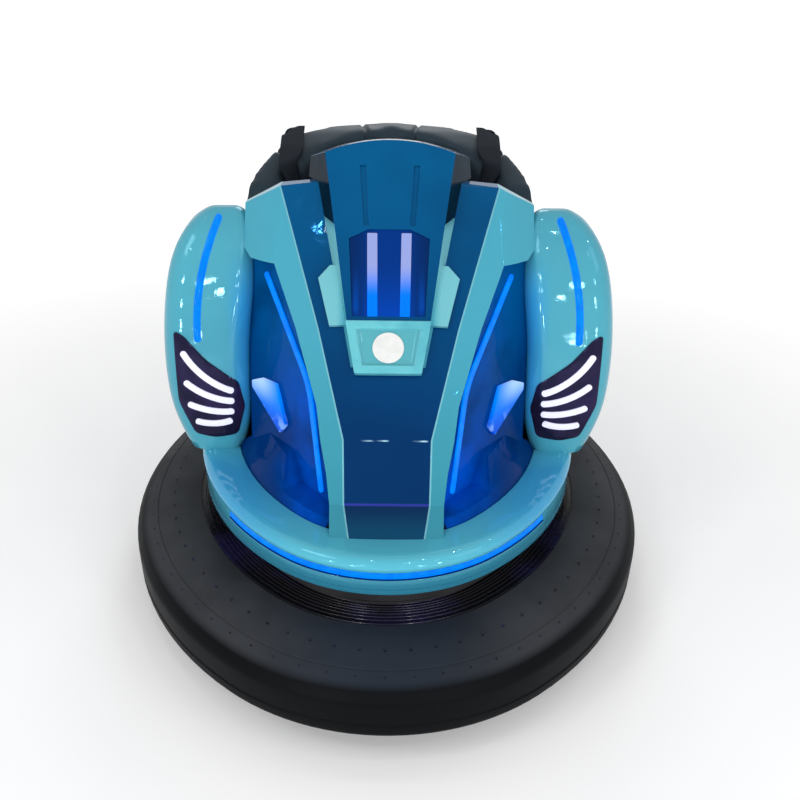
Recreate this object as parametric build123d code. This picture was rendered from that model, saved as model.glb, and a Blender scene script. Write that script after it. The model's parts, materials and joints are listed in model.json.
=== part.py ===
from build123d import *
from collections import namedtuple
import math
import os

# Small electric bumper car for one child.
# Millimetres. +Z is up, the front faces -Y, the origin is on the floor under the middle.

os.makedirs("parts", exist_ok=True)

GAP = 0.3               # clearance between curved neighbours
SKIN = 6                # moulded shell thickness
STEEL = 6               # plate thickness of the chassis
FIT = 0.05              # radial clearance of pins in holes
CLEAR = 5               # clearance beside moving pieces

# Bumper tyre
TYRE_HALF_W = 600
TYRE_HALF_L = 700
TYRE_END_R = 500
TYRE_LOW = 55
TYRE_TOP = 205
TYRE_WIDTH = 227        # outer wall to the bead's end
TYRE_WALL_H = 92        # upright part of the outer wall
TYRE_CROWN = 100        # outer wall to the highest ring
BEAD_DROP = 6           # bead below the tyre's top
BEAD_RISE = 16          # bead above the tyre's underside

# Body tub and the lip that runs round it
TUB_HALF_W = 431
TUB_HALF_L = 518
TUB_END_R = 345
TUB_LOW = 250
TUB_WALL = 20
TUB_FLANGE = 58
LIP_OUT_W = 3           # lip beyond the tub at the sides
LIP_OUT_L = 25          # lip beyond the tub at the nose and the tail
LIP_HALF_W = TUB_HALF_W + LIP_OUT_W
LIP_HALF_L = TUB_HALF_L + LIP_OUT_L
LIP_WIDTH = 81
LIP_TOP = 350
LIP_LOW = 318
LED_LOW = 287
LED_TOP = 302
GROOVE_TOP = 317
GROOVE_DEPTH = 12
GROOVE_END_Y = 200 - TUB_HALF_L

# Chassis
RIM_LOW = 64
RIM_FLANGE = 12
BEAD_ROOM = 1.2         # between the rim's flanges and the tyre's bead
RIM_TOP = TYRE_TOP
PAN_TOP = RIM_TOP + STEEL
TRAY_INSET = 36         # tray wall, measured in from the tub
RAIL_X = 165
RAIL_W = 30
RAIL_H = 40
BEAM_W = 60
BEAM_H = 16

# Two datums along the car: the hood's toe, and the middle of the seat's curve
NOSE_Y = LIP_WIDTH - LIP_HALF_L - 4
SEAT_R = 350
SEAT_ROOM = 68          # behind the seat back
SEAT_Y = TUB_HALF_L - SEAT_ROOM - SEAT_R

# Hood: points of its middle section (distance from the toe, height)
HOOD_TOE = (66, 378)
HOOD_CREASE = (106, 500)
HOOD_SLOPE = 1.2
HOOD_TOP_Z = 912
HOOD_L = 474
# Hood: right half seen from the front (half width, height)
HOOD_HALF = [
    (109, 280),
    (109, 340),
    (119, 441),
    (139, 554),
    (184, 674),
    (231, 776),
    (284, 776),
    (300, 790),
    (300, 866),
    (224, 905),
    (150, HOOD_TOP_Z),
]
WING_Z = 776            # underside of the hood's wings

# Pod on the hood
POD_FOOT = (196, 620)   # distance from the toe, height
POD_TOP = (430, 976)
POD_FOOT_HALF = 76
POD_TOP_HALF = 130
POD_PEAK = 26           # rise of its rounded top edge
POD_FLARE = 24          # draft of its sides, degrees
POD_DEPTH = 130
POD_BACK = 26           # overhang behind the hood
CREASE_DEPTH = 5
GRILLE_DEPTH = 8
BAR_DEPTH = 4
EAR_H = 12
PLAQUE_H = 22
PLAQUE_FRAME = 17
PLAQUE_RECESS = 6
DISC_V = 188
DISC_R = 33
DISC_H = 3

# Steering
STEER_ANGLE = 50        # column's lean from the vertical, degrees
HUB_FROM_SEAT = 38
WHEEL_HUB = (SEAT_Y + HUB_FROM_SEAT, 690)
WHEEL_R = 140
WHEEL_GRIP = 13
BOSS_R = 34
SHAFT_R = 10
COLUMN_R = 24
COLUMN_START = 30       # column's upper end below the hub

# Road wheels
DRIVE_Y = NOSE_Y + 251
KINGPIN_R = 14
TOWER_R = 30
TOWER_TOP = 372
HOUSING_R = 38
HOUSING_H = 44
DRIVE_R = 85
DRIVE_W = 45
DRIVE_HUB = 0.72        # share of the wheel's radius
REAR_X = 222
REAR_Y = SEAT_Y + 145
REAR_R = 75
REAR_W = 38
REAR_HUB = 0.66
AXLE_R = 8
AXLE_CAP_R = 14
AXLE_CAP_W = 6

# Seat
BOLSTER = 72
CUSHION_TOP = 430
CUSHION_H = 85
CUSHION_HALF_W = 262
STRAP_X = 215
STRAP_W = 50
STRAP_T = 3

# Battery under the seat
BATTERY = (300, 180, 110)

# Charging socket in the tail
SOCKET_Z = 430
SOCKET_R = 11
SOCKET_DEPTH = 30
SOCKET_WALL = 4
SOCKET_FLANGE_R = 26
SOCKET_FLANGE_T = 6

FAR = 2 * TYRE_HALF_L   # past the car in any direction

Oval = namedtuple("Oval", "end_y end_r side_x side_r split")


def oval(half_w, half_l, end_r):
    """Oval of four tangent arcs: two ends on the Y axis and two sides on the X axis."""
    end_y = half_l - end_r
    side_r = (half_w**2 + end_y**2 - end_r**2) / (2 * (half_w - end_r))
    side_x = side_r - half_w
    split = math.degrees(math.atan2(end_y, side_x))
    return Oval(end_y, end_r, side_x, side_r, split)


TYRE = oval(TYRE_HALF_W, TYRE_HALF_L, TYRE_END_R)
TUB = oval(TUB_HALF_W, TUB_HALF_L, TUB_END_R)
LIP = oval(LIP_HALF_W, LIP_HALF_L, TUB_END_R)


def polygon(points):
    return make_face(Polyline(*points, close=True).edges())


def rounded(points, radius):
    """Closed outline with rounded corners; radius is one number or one for each corner."""
    return make_face(FilletPolyline(*points, radius=radius, close=True).edges())


def around(shape, section):
    """Carry a section (offset from the oval, height) once round an oval."""
    turns = [
        # centre x, centre y, arc radius, start angle, arc
        (-shape.side_x, 0, shape.side_r, -shape.split, 2 * shape.split),
        (0, shape.end_y, shape.end_r, shape.split, 180 - 2 * shape.split),
        (shape.side_x, 0, shape.side_r, 180 - shape.split, 2 * shape.split),
        (0, -shape.end_y, shape.end_r, 180 + shape.split, 180 - 2 * shape.split),
    ]
    ring = None
    for cx, cy, radius, start, arc in turns:
        a = math.radians(start)
        plane = Plane((cx, cy, 0), x_dir=(math.cos(a), math.sin(a), 0), z_dir=(math.sin(a), -math.cos(a), 0))
        piece = revolve(plane * (Pos(radius, 0) * section), Axis((cx, cy, 0), (0, 0, 1)), arc)
        ring = piece if ring is None else ring + piece
    return ring


def oval_prism(shape, offset_by, low, high):
    """Upright prism over an oval that is offset outwards."""
    a = math.radians(shape.split)
    side = shape.side_r + offset_by
    x = -shape.side_x + side * math.cos(a)
    y = side * math.sin(a)
    right = -shape.side_x + side
    top = shape.end_y + shape.end_r + offset_by
    outline = [
        ThreePointArc((x, -y), (right, 0), (x, y)),
        ThreePointArc((x, y), (0, top), (-x, y)),
        ThreePointArc((-x, y), (-right, 0), (-x, -y)),
        ThreePointArc((-x, -y), (0, -top), (x, -y)),
    ]
    return extrude(Plane.XY.offset(low) * make_face(outline), high - low)


def side_prism(face, low_x, high_x):
    """Prism along X of a face drawn as (y, z)."""
    return extrude(Plane.YZ.offset(low_x) * face, high_x - low_x)


def front_prism(face, low_y, high_y):
    """Prism along Y of a face drawn as (x, z)."""
    return extrude(Plane.XZ.offset(-high_y) * face, high_y - low_y)


def block(x, y, z):
    """Box between pairs of coordinates."""
    size = (x[1] - x[0], y[1] - y[0], z[1] - z[0])
    return Pos((x[0] + x[1]) / 2, (y[0] + y[1]) / 2, (z[0] + z[1]) / 2) * Box(*size)


def rod(start, end, radius):
    """Round bar between two points."""
    line = Vector(*end) - Vector(*start)
    return extrude(Plane(start, z_dir=line) * Circle(radius), line.length)


def post(y, low, high, radius):
    """Upright round bar in the middle plane."""
    return rod((0, y, low), (0, y, high), radius)


def mirrored(shape):
    return mirror(shape, Plane.YZ)


def both_sides(shape):
    return shape + mirrored(shape)


def pair(shape):
    """The shape and its mirror image, as separate solids."""
    return Compound(children=list(shape.solids()) + list(mirrored(shape).solids()))


def bumper_tyre():
    """Inflated ring; its air space is closed by the rim and left solid."""
    section = [
        (-TYRE_WIDTH, TYRE_LOW + BEAD_RISE),
        (-2 * BEAD_RISE, TYRE_LOW),
        (0, TYRE_LOW + BEAD_RISE),
        (0, TYRE_LOW + TYRE_WALL_H),
        (-20, TYRE_LOW + TYRE_WALL_H + 26),
        (-TYRE_CROWN, TYRE_TOP),
        (-TYRE_WIDTH, TYRE_TOP - BEAD_DROP),
    ]
    return around(TYRE, polygon(section))


def chassis_rim():
    web = -TYRE_WIDTH - GAP
    section = [
        (web - STEEL, RIM_LOW),
        (web + RIM_FLANGE, RIM_LOW),
        (web + RIM_FLANGE, TYRE_LOW + BEAD_RISE - BEAD_ROOM),
        (web, TYRE_LOW + BEAD_RISE - BEAD_ROOM),
        (web, TYRE_TOP - BEAD_DROP + BEAD_ROOM),
        (web + RIM_FLANGE, TYRE_TOP - BEAD_DROP + BEAD_ROOM),
        (web + RIM_FLANGE, RIM_TOP),
        (web - STEEL, RIM_TOP),
    ]
    return around(TYRE, polygon(section))


def chassis_frame():
    inside = oval_prism(TYRE, -TYRE_WIDTH - GAP - STEEL, 0, RIM_TOP)
    low = RIM_TOP - RAIL_H
    rail = block((RAIL_X, RAIL_X + RAIL_W), (-FAR, FAR), (low, RIM_TOP))
    beams = both_sides(rail)
    for y in (DRIVE_Y, REAR_Y):
        beams += block((-FAR, FAR), (y - BEAM_W / 2, y + BEAM_W / 2), (RIM_TOP - BEAM_H, RIM_TOP))
    beams = beams & inside
    hanger_x = RAIL_X + RAIL_W / 2
    hanger = block((hanger_x - 8, hanger_x + 8), (REAR_Y - 22, REAR_Y + 22), (REAR_R - 3 * AXLE_R, low))
    beams += both_sides(hanger)
    beams -= rod((-FAR, REAR_Y, REAR_R), (FAR, REAR_Y, REAR_R), AXLE_R + FIT)
    beams += post(DRIVE_Y, RIM_TOP - BEAM_H, TOWER_TOP, TOWER_R)
    return beams - post(DRIVE_Y, 0, TOWER_TOP, KINGPIN_R + FIT)


def floor_pan():
    """Flat plate with an upright edge that the tub stands on."""
    plate = oval_prism(TUB, -TRAY_INSET, RIM_TOP, PAN_TOP)
    edge = oval_prism(TUB, -TRAY_INSET, RIM_TOP, TUB_LOW) - oval_prism(TUB, -TRAY_INSET - STEEL, RIM_TOP, TUB_LOW)
    return plate + edge - post(DRIVE_Y, 0, TOWER_TOP, TOWER_R + GAP)


def tub_shell():
    wall = polygon([
        (0, TUB_LOW),
        (0, LIP_LOW + 14),
        (-TUB_WALL, LIP_LOW + 14),
        (-TUB_WALL, TUB_LOW + SKIN),
        (-TUB_FLANGE, TUB_LOW + SKIN),
        (-TUB_FLANGE, TUB_LOW),
    ])
    inner = -LIP_WIDTH - SKIN
    lip = polygon([
        (-50, LIP_LOW),
        (-6, LIP_LOW + 2),
        (0, LIP_LOW + 14),
        (-8, LIP_TOP - 4),
        (-24, LIP_TOP),
        (inner, LIP_TOP - 5),
        (inner, PAN_TOP),
        (-LIP_WIDTH, PAN_TOP),
        (-LIP_WIDTH, LIP_TOP - 22),
        (-50, LIP_TOP - 22),
    ])
    slot = polygon([
        (-GROOVE_DEPTH, LED_LOW),
        (LIP_WIDTH, LED_LOW),
        (LIP_WIDTH, GROOVE_TOP),
        (-GROOVE_DEPTH, GROOVE_TOP),
    ])
    groove = around(TUB, slot) & block((-FAR, FAR), (-FAR, GROOVE_END_Y), (0, FAR))
    return around(TUB, wall) + around(LIP, lip) - groove


def front_led_strip():
    section = polygon([
        (-GROOVE_DEPTH + GAP, LED_LOW),
        (-3, LED_LOW),
        (-3, LED_TOP),
        (-GROOVE_DEPTH + GAP, LED_TOP),
    ])
    return around(TUB, section) & block((-FAR, FAR), (-FAR, GROOVE_END_Y - 2), (0, FAR))


def hood_profile():
    """Hood seen from the side (y, z)."""
    back_y = NOSE_Y + HOOD_CREASE[0] + (HOOD_TOP_Z - HOOD_CREASE[1]) / HOOD_SLOPE
    return polygon([
        (NOSE_Y, LIP_TOP - 4),
        (NOSE_Y + HOOD_TOE[0], HOOD_TOE[1]),
        (NOSE_Y + HOOD_CREASE[0], HOOD_CREASE[1]),
        (back_y, HOOD_TOP_Z),
        (NOSE_Y + HOOD_L + LIP_WIDTH, HOOD_TOP_Z),
        (NOSE_Y + HOOD_L + LIP_WIDTH, PAN_TOP),
        (NOSE_Y, PAN_TOP),
    ])


def hood_front():
    """Hood seen from the front (x, z)."""
    return polygon(HOOD_HALF + [(-x, z) for x, z in reversed(HOOD_HALF)])


def hood_solid(inset=0):
    """Outer form of the hood, or the hollow in it when inset."""
    profile = hood_profile()
    front = hood_front()
    if inset:
        profile = offset(profile, -inset)
        front = offset(front, -inset)
    return side_prism(profile, -FAR, FAR) & front_prism(front, -FAR, FAR)


def scoop_plane():
    """Front face of the left scoop's back wall; its X runs towards the nose."""
    return Plane((-290, NOSE_Y + 316, 415), x_dir=(0.66, -0.75, 0), z_dir=(-0.735, -0.65, 0.19))


def behind_scoop(depth):
    """Everything further back than a depth behind the left scoop's wall."""
    return extrude(scoop_plane().offset(-depth) * Rectangle(FAR, FAR), -FAR)


def hood_shell():
    """Hood skin; the scoops close its sides, so behind them it has no side walls."""
    shell = hood_solid() - hood_solid(SKIN)
    shell &= block((-FAR, FAR), (-FAR, NOSE_Y + HOOD_L), (LIP_TOP - 5, FAR))
    under = side_prism(offset(hood_profile(), -SKIN), -FAR, 0)
    cut = under & behind_scoop(SKIN) & block((-FAR, 0), (-FAR, FAR), (0, WING_Z - 1))
    return shell - both_sides(cut) - fender_pair()


def pod_plane():
    slope = (POD_TOP[1] - POD_FOOT[1]) / (POD_TOP[0] - POD_FOOT[0])
    lean = math.atan(slope)
    foot = (0, NOSE_Y + POD_FOOT[0], POD_FOOT[1])
    return Plane(foot, x_dir=(1, 0, 0), z_dir=(0, -math.sin(lean), math.cos(lean)))


def on_pod(face, low, high):
    """Prism of a face drawn on the pod's front."""
    return extrude(pod_plane().offset(low) * face, high - low)


def hood_plane():
    lean = math.atan(HOOD_SLOPE)
    crease = (0, NOSE_Y + HOOD_CREASE[0], HOOD_CREASE[1])
    return Plane(crease, x_dir=(1, 0, 0), z_dir=(0, -math.sin(lean), math.cos(lean)))


def on_hood(face, low, high):
    """Prism of a face drawn on the hood's slope."""
    return extrude(hood_plane().offset(low) * face, high - low)


POD_FACE_L = math.hypot(POD_TOP[0] - POD_FOOT[0], POD_TOP[1] - POD_FOOT[1])
# Outlines on the pod's front and on the hood's slope (x, distance up the slope)
GRILLE = [(-72, 97), (72, 97), (80, 253), (42, 271), (-42, 271), (-80, 253)]
BAR = [(22, 97), (42, 97), (44, 264), (24, 264)]
CREASE = [(41, 279), (51, 279), (60, 400), (48, 400)]
EAR = [(70, 231), (117, 229), (141, 327), (118, 354), (70, 354)]
PLAQUE = [(-66, 131), (66, 131), (85, 238), (-85, 238)]


def pod_block():
    side = POD_TOP_HALF - POD_FOOT_HALF
    low_half = POD_FOOT_HALF - side * 0.1
    outline = [
        Line((-low_half, 0), (low_half, 0)),
        Line((low_half, 0), (POD_TOP_HALF, POD_FACE_L)),
        ThreePointArc((POD_TOP_HALF, POD_FACE_L), (0, POD_FACE_L + POD_PEAK), (-POD_TOP_HALF, POD_FACE_L)),
        Line((-POD_TOP_HALF, POD_FACE_L), (-low_half, 0)),
    ]
    return extrude(pod_plane() * make_face(outline), -POD_DEPTH, taper=-POD_FLARE)


def pod_cowl():
    """Pod with its sunk grille, two creases up its brow and an ear at each side of its foot."""
    back = NOSE_Y + HOOD_L + POD_BACK
    pod = pod_block() + both_sides(on_hood(polygon(EAR), -SKIN, EAR_H))
    pod -= hood_solid()
    pod &= block((-FAR, FAR), (-FAR, back), (0, FAR))
    pod -= block((-FAR, FAR), (NOSE_Y + HOOD_L - 40, FAR), (0, HOOD_TOP_Z - 40))
    pod -= on_pod(polygon(GRILLE), -GRILLE_DEPTH, POD_DEPTH)
    pod -= both_sides(on_pod(polygon(CREASE), -CREASE_DEPTH, POD_DEPTH))
    return pod - on_hood(polygon(PLAQUE), 0, POD_DEPTH)


def grille_panel():
    return on_pod(polygon(GRILLE), -GRILLE_DEPTH, -GRILLE_DEPTH + BAR_DEPTH) - hood_solid()


def grille_bars():
    return pair(on_pod(polygon(BAR), -GRILLE_DEPTH + BAR_DEPTH, 0) - hood_solid())


def disc_seat():
    return hood_plane().offset(PLAQUE_H - PLAQUE_RECESS) * (Pos(0, DISC_V) * Circle(DISC_R))


def number_plaque():
    """Framed block; the blank disc lies in its recess."""
    plaque = on_hood(polygon(PLAQUE), 0, PLAQUE_H)
    recess = offset(polygon(PLAQUE), -PLAQUE_FRAME)
    return plaque - on_hood(recess, PLAQUE_H - PLAQUE_RECESS, PLAQUE_H)


def plaque_disc():
    return extrude(disc_seat(), DISC_H)


FENDER_BACK = SEAT_Y + 18
FENDER = [
    # height, inner x, outer x, front from the toe, rear from FENDER_BACK, corner radius
    (346, 322, 446, 320, -2, 38),
    (424, 297, 478, 316, 0, 48),
    (500, 300, 487, 319, 0, 52),
    (600, 300, 486, 330, -10, 52),
    (700, 282, 474, 358, -32, 48),
    (780, 284, 456, 392, -58, 40),
    (835, 296, 424, 428, -86, 26),
    (858, 324, 392, 452, -106, 10),
]


def fender_section(z, inner, outer, front, rear, radius):
    """Rectangle whose corners are rounded by two flats each."""
    low = NOSE_Y + front
    high = FENDER_BACK + rear
    points = []
    for x, y, turn in ((inner, low, 180), (outer, low, 270), (outer, high, 0), (inner, high, 90)):
        middle_x = x + radius * (1 if x == inner else -1)
        middle_y = y + radius * (1 if y == low else -1)
        for step in (0, 45, 90):
            a = math.radians(turn + step)
            points.append((middle_x + radius * math.cos(a), middle_y + radius * math.sin(a)))
    return Pos(0, 0, z) * polygon(points)


def fender():
    """Right fender, a loft through rounded sections."""
    return loft([fender_section(*row) for row in FENDER], ruled=True)


RIGHT_FENDER = fender()


def fender_pair():
    return both_sides(RIGHT_FENDER)


def fender_inlay(face, depth):
    """Layer of the right fender's front under an outline (x, z)."""
    form = RIGHT_FENDER & front_prism(face, -FAR, SEAT_Y)
    return form - Pos(0, depth, 0) * RIGHT_FENDER


LAMP_DEPTH = 5
WING_LAMP = [(452, 626), (432, 618), (388, 566), (322, 514), (312, 452), (330, 388), (382, 380), (424, 390), (454, 468)]
LAMP_CORNER = 9
BAR_W = 14
WING_BARS = [
    # outer x, z, middle x, z, inner x, z
    (436, 584, 396, 532, 332, 494),
    (436, 517, 388, 485, 332, 471),
    (433, 465, 384, 449, 334, 447),
    (420, 423, 378, 417, 340, 425),
]
FENDER_LED = ((362, 856), (397, 729), (403, 604))
FENDER_LED_W = 15


def wing_bars():
    bars = None
    for x0, z0, x1, z1, x2, z2 in WING_BARS:
        arc = ThreePointArc((x0, z0), (x1, z1), (x2, z2))
        bar = fender_inlay(SlotArc(arc, BAR_W), LAMP_DEPTH / 2)
        bars = bar if bars is None else bars + bar
    return bars


def wing_lamp():
    return fender_inlay(rounded(WING_LAMP, LAMP_CORNER), LAMP_DEPTH)


def fender_led():
    return fender_inlay(SlotArc(ThreePointArc(*FENDER_LED), FENDER_LED_W), LAMP_DEPTH)


# Scoop outlines on its wall (x towards the nose, height up the wall)
KITE = [(-18, 99), (16, 116), (67, 122), (117, 48), (100, 23), (-14, 84)]
KITE_H = 10
SCOOP_LED = [(-10, 333), (169, 157), (248, -40)]
SCOOP_LED_BEND = 180
SCOOP_LED_W = 14
SCOOP_LED_H = 5
MOUND = [(-160, 330), (-160, 392), (10, 418), (140, 418), (186, 362), (320, 360), (320, 330)]
DECK_LOW = LIP_TOP - 12


def scoop_floor():
    """Left scoop's floor: it climbs from the lip to a mound and drops beside the hood."""
    wall = scoop_plane()
    level = Plane((wall.origin.X, wall.origin.Y, 0), x_dir=wall.x_dir, z_dir=(wall.x_dir.Y, -wall.x_dir.X, 0))
    across = extrude(level * polygon(MOUND), FAR / 2, both=True)
    inner = -LIP_WIDTH - SKIN - GAP
    climb = around(LIP, polygon([
        (inner, DECK_LOW),
        (inner, LIP_TOP - 6),
        (inner - 58, 424),
        (inner - 190, 430),
        (inner - 190, DECK_LOW),
    ]))
    form = across & climb & block((-FAR, 0), (-FAR, 0), (DECK_LOW, FAR))
    return form - Pos(0, 0, -SKIN) * form - behind_scoop(SKIN)


def front_deck():
    """Both scoops, each a floor and a back wall between hood, wing and fender."""
    wall = behind_scoop(0) - behind_scoop(SKIN)
    wall &= block((-300, 0), (-FAR, 0), (355, WING_Z))
    wall &= side_prism(hood_profile(), -FAR, FAR)
    left = wall + scoop_floor()
    left -= front_prism(hood_front(), -FAR, FAR)
    left -= mirrored(RIGHT_FENDER)
    solids = left.solids().sort_by(SortBy.VOLUME)
    return pair(solids[-1])


def on_scoop(face, height):
    """Prism of a face drawn on the left scoop's wall."""
    return extrude(scoop_plane() * face, height) - front_prism(hood_front(), -FAR, FAR)


def scoop_leds():
    path = FilletPolyline(*SCOOP_LED, radius=SCOOP_LED_BEND)
    return pair(on_scoop(SlotArc(path, SCOOP_LED_W), SCOOP_LED_H) - front_deck())


def headlamps():
    return pair(on_scoop(polygon(KITE), KITE_H) - mirrored(RIGHT_FENDER) - front_deck())


# Rear body seen from the side (distance behind the seat's middle, height)
REAR_SIDE = [(25, LIP_TOP), (25, 520), (90, 600), (180, 660), (460, 700), (460, LIP_TOP)]
REAR_TOP = 660


def rear_body():
    """Panel round the tail, a top that closes it and a wall round the seat."""
    panel = around(TUB, polygon([
        (-2, LIP_TOP),
        (-8, 520),
        (-58, REAR_TOP),
        (-58, REAR_TOP - SKIN),
        (-14, 520),
        (-8, LIP_TOP),
    ]))
    top = oval_prism(TUB, -58, REAR_TOP - SKIN, REAR_TOP)
    height = REAR_TOP - LIP_TOP
    middle = Pos(0, SEAT_Y, LIP_TOP + height / 2)
    body = panel + top + middle * Cylinder(SEAT_R + GAP + SKIN, height)
    body -= Pos(0, SEAT_Y, 0) * Cylinder(SEAT_R + GAP, FAR)
    body += rod((0, TUB_HALF_L - 24, SOCKET_Z), (0, TUB_HALF_L + 2, SOCKET_Z), SOCKET_FLANGE_R + 4)
    body -= rod((0, SEAT_Y + SEAT_R - 50, SOCKET_Z), (0, FAR, SOCKET_Z), SOCKET_R + SOCKET_WALL + GAP)
    return body & side_prism(polygon([(SEAT_Y + y, z) for y, z in REAR_SIDE]), -FAR, FAR)


def seat_base():
    """Moulded box that carries the cushion, open below."""
    room = -LIP_WIDTH - SKIN - GAP
    low = PAN_TOP
    high = CUSHION_TOP - CUSHION_H
    front_y = SEAT_Y - 40
    shell = oval_prism(LIP, room, low, high) - oval_prism(LIP, room - SKIN, low, high - SKIN)
    front = oval_prism(LIP, room, low, high) & block((-FAR, FAR), (front_y, front_y + SKIN), (low, high))
    return (shell & block((-FAR, FAR), (front_y, FAR), (low, high))) + front


def seat_cushion():
    pad = Pos(0, SEAT_Y, 0) * Cylinder(SEAT_R - BOLSTER - 1, 2 * CUSHION_TOP)
    x = (-CUSHION_HALF_W, CUSHION_HALF_W)
    return pad & block(x, (SEAT_Y - 60, FAR), (CUSHION_TOP - CUSHION_H, CUSHION_TOP))


# Seat back seen from the side (distance behind the seat's middle, height)
SEAT_SIDE = [(35, 351), (35, 560), (60, 740), (100, 848), (200, 912), (280, 950), (360, 957), (360, 351)]


def seat_back():
    wall = Pos(0, SEAT_Y, 0) * (Cylinder(SEAT_R, 2 * FAR) - Cylinder(SEAT_R - BOLSTER, 2 * FAR))
    return wall & side_prism(polygon([(SEAT_Y + y, z) for y, z in SEAT_SIDE]), -FAR, FAR)


def harness_straps():
    inner = SEAT_R - BOLSTER - 1
    band = Pos(0, SEAT_Y, 0) * (Cylinder(inner, 2 * FAR) - Cylinder(inner - STRAP_T, 2 * FAR))
    x = (STRAP_X - STRAP_W / 2, STRAP_X + STRAP_W / 2)
    return pair(band & block(x, (SEAT_Y, FAR), (CUSHION_TOP + 20, 900)))


def battery():
    width, length, height = BATTERY
    low = SEAT_Y + 50
    return block((-width / 2, width / 2), (low, low + length), (PAN_TOP, PAN_TOP + height))


def dashboard():
    face = NOSE_Y + HOOD_L + GAP
    panel = side_prism(polygon([(face, 640), (face, 870), (face + SKIN, 870), (face + 28, 640)]), -270, 270)
    return panel - column_tube(COLUMN_R + SKIN + GAP)


def steer_point(distance):
    """Point on the steering axis, measured up from the wheel's hub."""
    a = math.radians(STEER_ANGLE)
    return (0, WHEEL_HUB[0] + distance * math.sin(a), WHEEL_HUB[1] + distance * math.cos(a))


COLUMN_END = (DRIVE_Y - WHEEL_HUB[0]) / math.sin(math.radians(STEER_ANGLE))


def column_tube(radius):
    return rod(steer_point(COLUMN_END), steer_point(-COLUMN_START), radius)


def steering_column():
    """Tube from the dashboard to a joint housing on the kingpin's tower."""
    housing = post(DRIVE_Y, TOWER_TOP, TOWER_TOP + HOUSING_H, HOUSING_R)
    tube = column_tube(COLUMN_R) - block((-FAR, FAR), (-FAR, FAR), (0, TOWER_TOP))
    return tube + housing - rod(steer_point(-130), steer_point(0), SHAFT_R + FIT)


def steering_wheel():
    plane = Plane(steer_point(0), x_dir=(1, 0, 0), z_dir=Vector(*steer_point(1)) - Vector(*steer_point(0)))
    rim = revolve(Plane.XZ * (Pos(WHEEL_R, 0) * RegularPolygon(WHEEL_GRIP, 8)), Axis.Z)
    wheel = plane * rim + rod(steer_point(-26), steer_point(16), BOSS_R)
    for angle in (0, 90, 180):
        wheel += plane * (Rot(0, 0, angle) * (Pos(WHEEL_R / 2, 0, 0) * Box(WHEEL_R, 26, 10)))
    return wheel + rod(steer_point(-120), steer_point(-20), SHAFT_R)


def steering_fork():
    """Kingpin, crown and two legs that hold the drive wheel's axle."""
    top = 2 * DRIVE_R + 2 * CLEAR
    half = DRIVE_W / 2 + CLEAR + 3
    leg_t = 8
    crown = block((-half - leg_t, half + leg_t), (DRIVE_Y - 30, DRIVE_Y + 30), (top - leg_t, top))
    leg = block((half, half + leg_t), (DRIVE_Y - 20, DRIVE_Y + 20), (DRIVE_R - 16, top))
    fork = crown + both_sides(leg) + post(DRIVE_Y, top - leg_t, TOWER_TOP - 6, KINGPIN_R)
    return fork - rod((-FAR, DRIVE_Y, DRIVE_R), (FAR, DRIVE_Y, DRIVE_R), AXLE_R + FIT)


def road_wheel(x, y, radius, width, hub_share, axle_half):
    """Hub and tyre of a road wheel on the X axis; the hub has an axle or a bore."""
    turn = Pos(x, y, radius) * Rot(0, 90, 0)
    hub = turn * Cylinder(radius * hub_share, width - 6)
    if axle_half:
        hub += rod((x - axle_half, y, radius), (x + axle_half, y, radius), AXLE_R)
    else:
        hub -= turn * Cylinder(AXLE_R + FIT, FAR)
    return hub, turn * (Cylinder(radius, width) - Cylinder(radius * hub_share, FAR))


def rear_axle():
    """Bar through both rear wheels, with a cap outside each."""
    hub_end = REAR_X + REAR_W / 2 - 3
    cap = rod((hub_end + CLEAR, REAR_Y, REAR_R), (hub_end + CLEAR + AXLE_CAP_W, REAR_Y, REAR_R), AXLE_CAP_R)
    end = hub_end + CLEAR + AXLE_CAP_W
    return rod((-end, REAR_Y, REAR_R), (end, REAR_Y, REAR_R), AXLE_R) + both_sides(cap)


PEDAL_SIDE = [(95, 29), (50, 119), (42, 115), (87, 25)]     # from the fork's axis, above the floor


def pedal():
    arm = block((62, 78), (DRIVE_Y + 65, DRIVE_Y + 77), (PAN_TOP, PAN_TOP + 60))
    plate = side_prism(polygon([(DRIVE_Y + y, PAN_TOP + z) for y, z in PEDAL_SIDE]), 44, 96)
    return arm + plate


def tail_lamps(body):
    ring = around(TUB, polygon([(-8, 470), (6, 470), (6, 520), (-8, 520)]))
    return pair(ring & block((150, 290), (SEAT_Y, FAR), (0, FAR)) - body)


def charging_socket():
    face = TUB_HALF_L + 2
    flange = rod((0, face, SOCKET_Z), (0, face + SOCKET_FLANGE_T, SOCKET_Z), SOCKET_FLANGE_R)
    barrel = rod((0, face - SOCKET_DEPTH - SOCKET_WALL, SOCKET_Z), (0, face, SOCKET_Z), SOCKET_R + SOCKET_WALL)
    return flange + barrel - rod((0, face - SOCKET_DEPTH, SOCKET_Z), (0, FAR, SOCKET_Z), SOCKET_R)


drive_hub, drive_tyre = road_wheel(0, DRIVE_Y, DRIVE_R, DRIVE_W, DRIVE_HUB, DRIVE_W / 2 + CLEAR + 9)
rear_hub_left, rear_tyre_left = road_wheel(-REAR_X, REAR_Y, REAR_R, REAR_W, REAR_HUB, 0)
rear_hub_right, rear_tyre_right = road_wheel(REAR_X, REAR_Y, REAR_R, REAR_W, REAR_HUB, 0)

tub = tub_shell()
rear = rear_body()
lamp_bars = wing_bars()
lamp_panel = wing_lamp()
fender_light = fender_led()
fender_right = RIGHT_FENDER - lamp_panel - fender_light - tub

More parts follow.
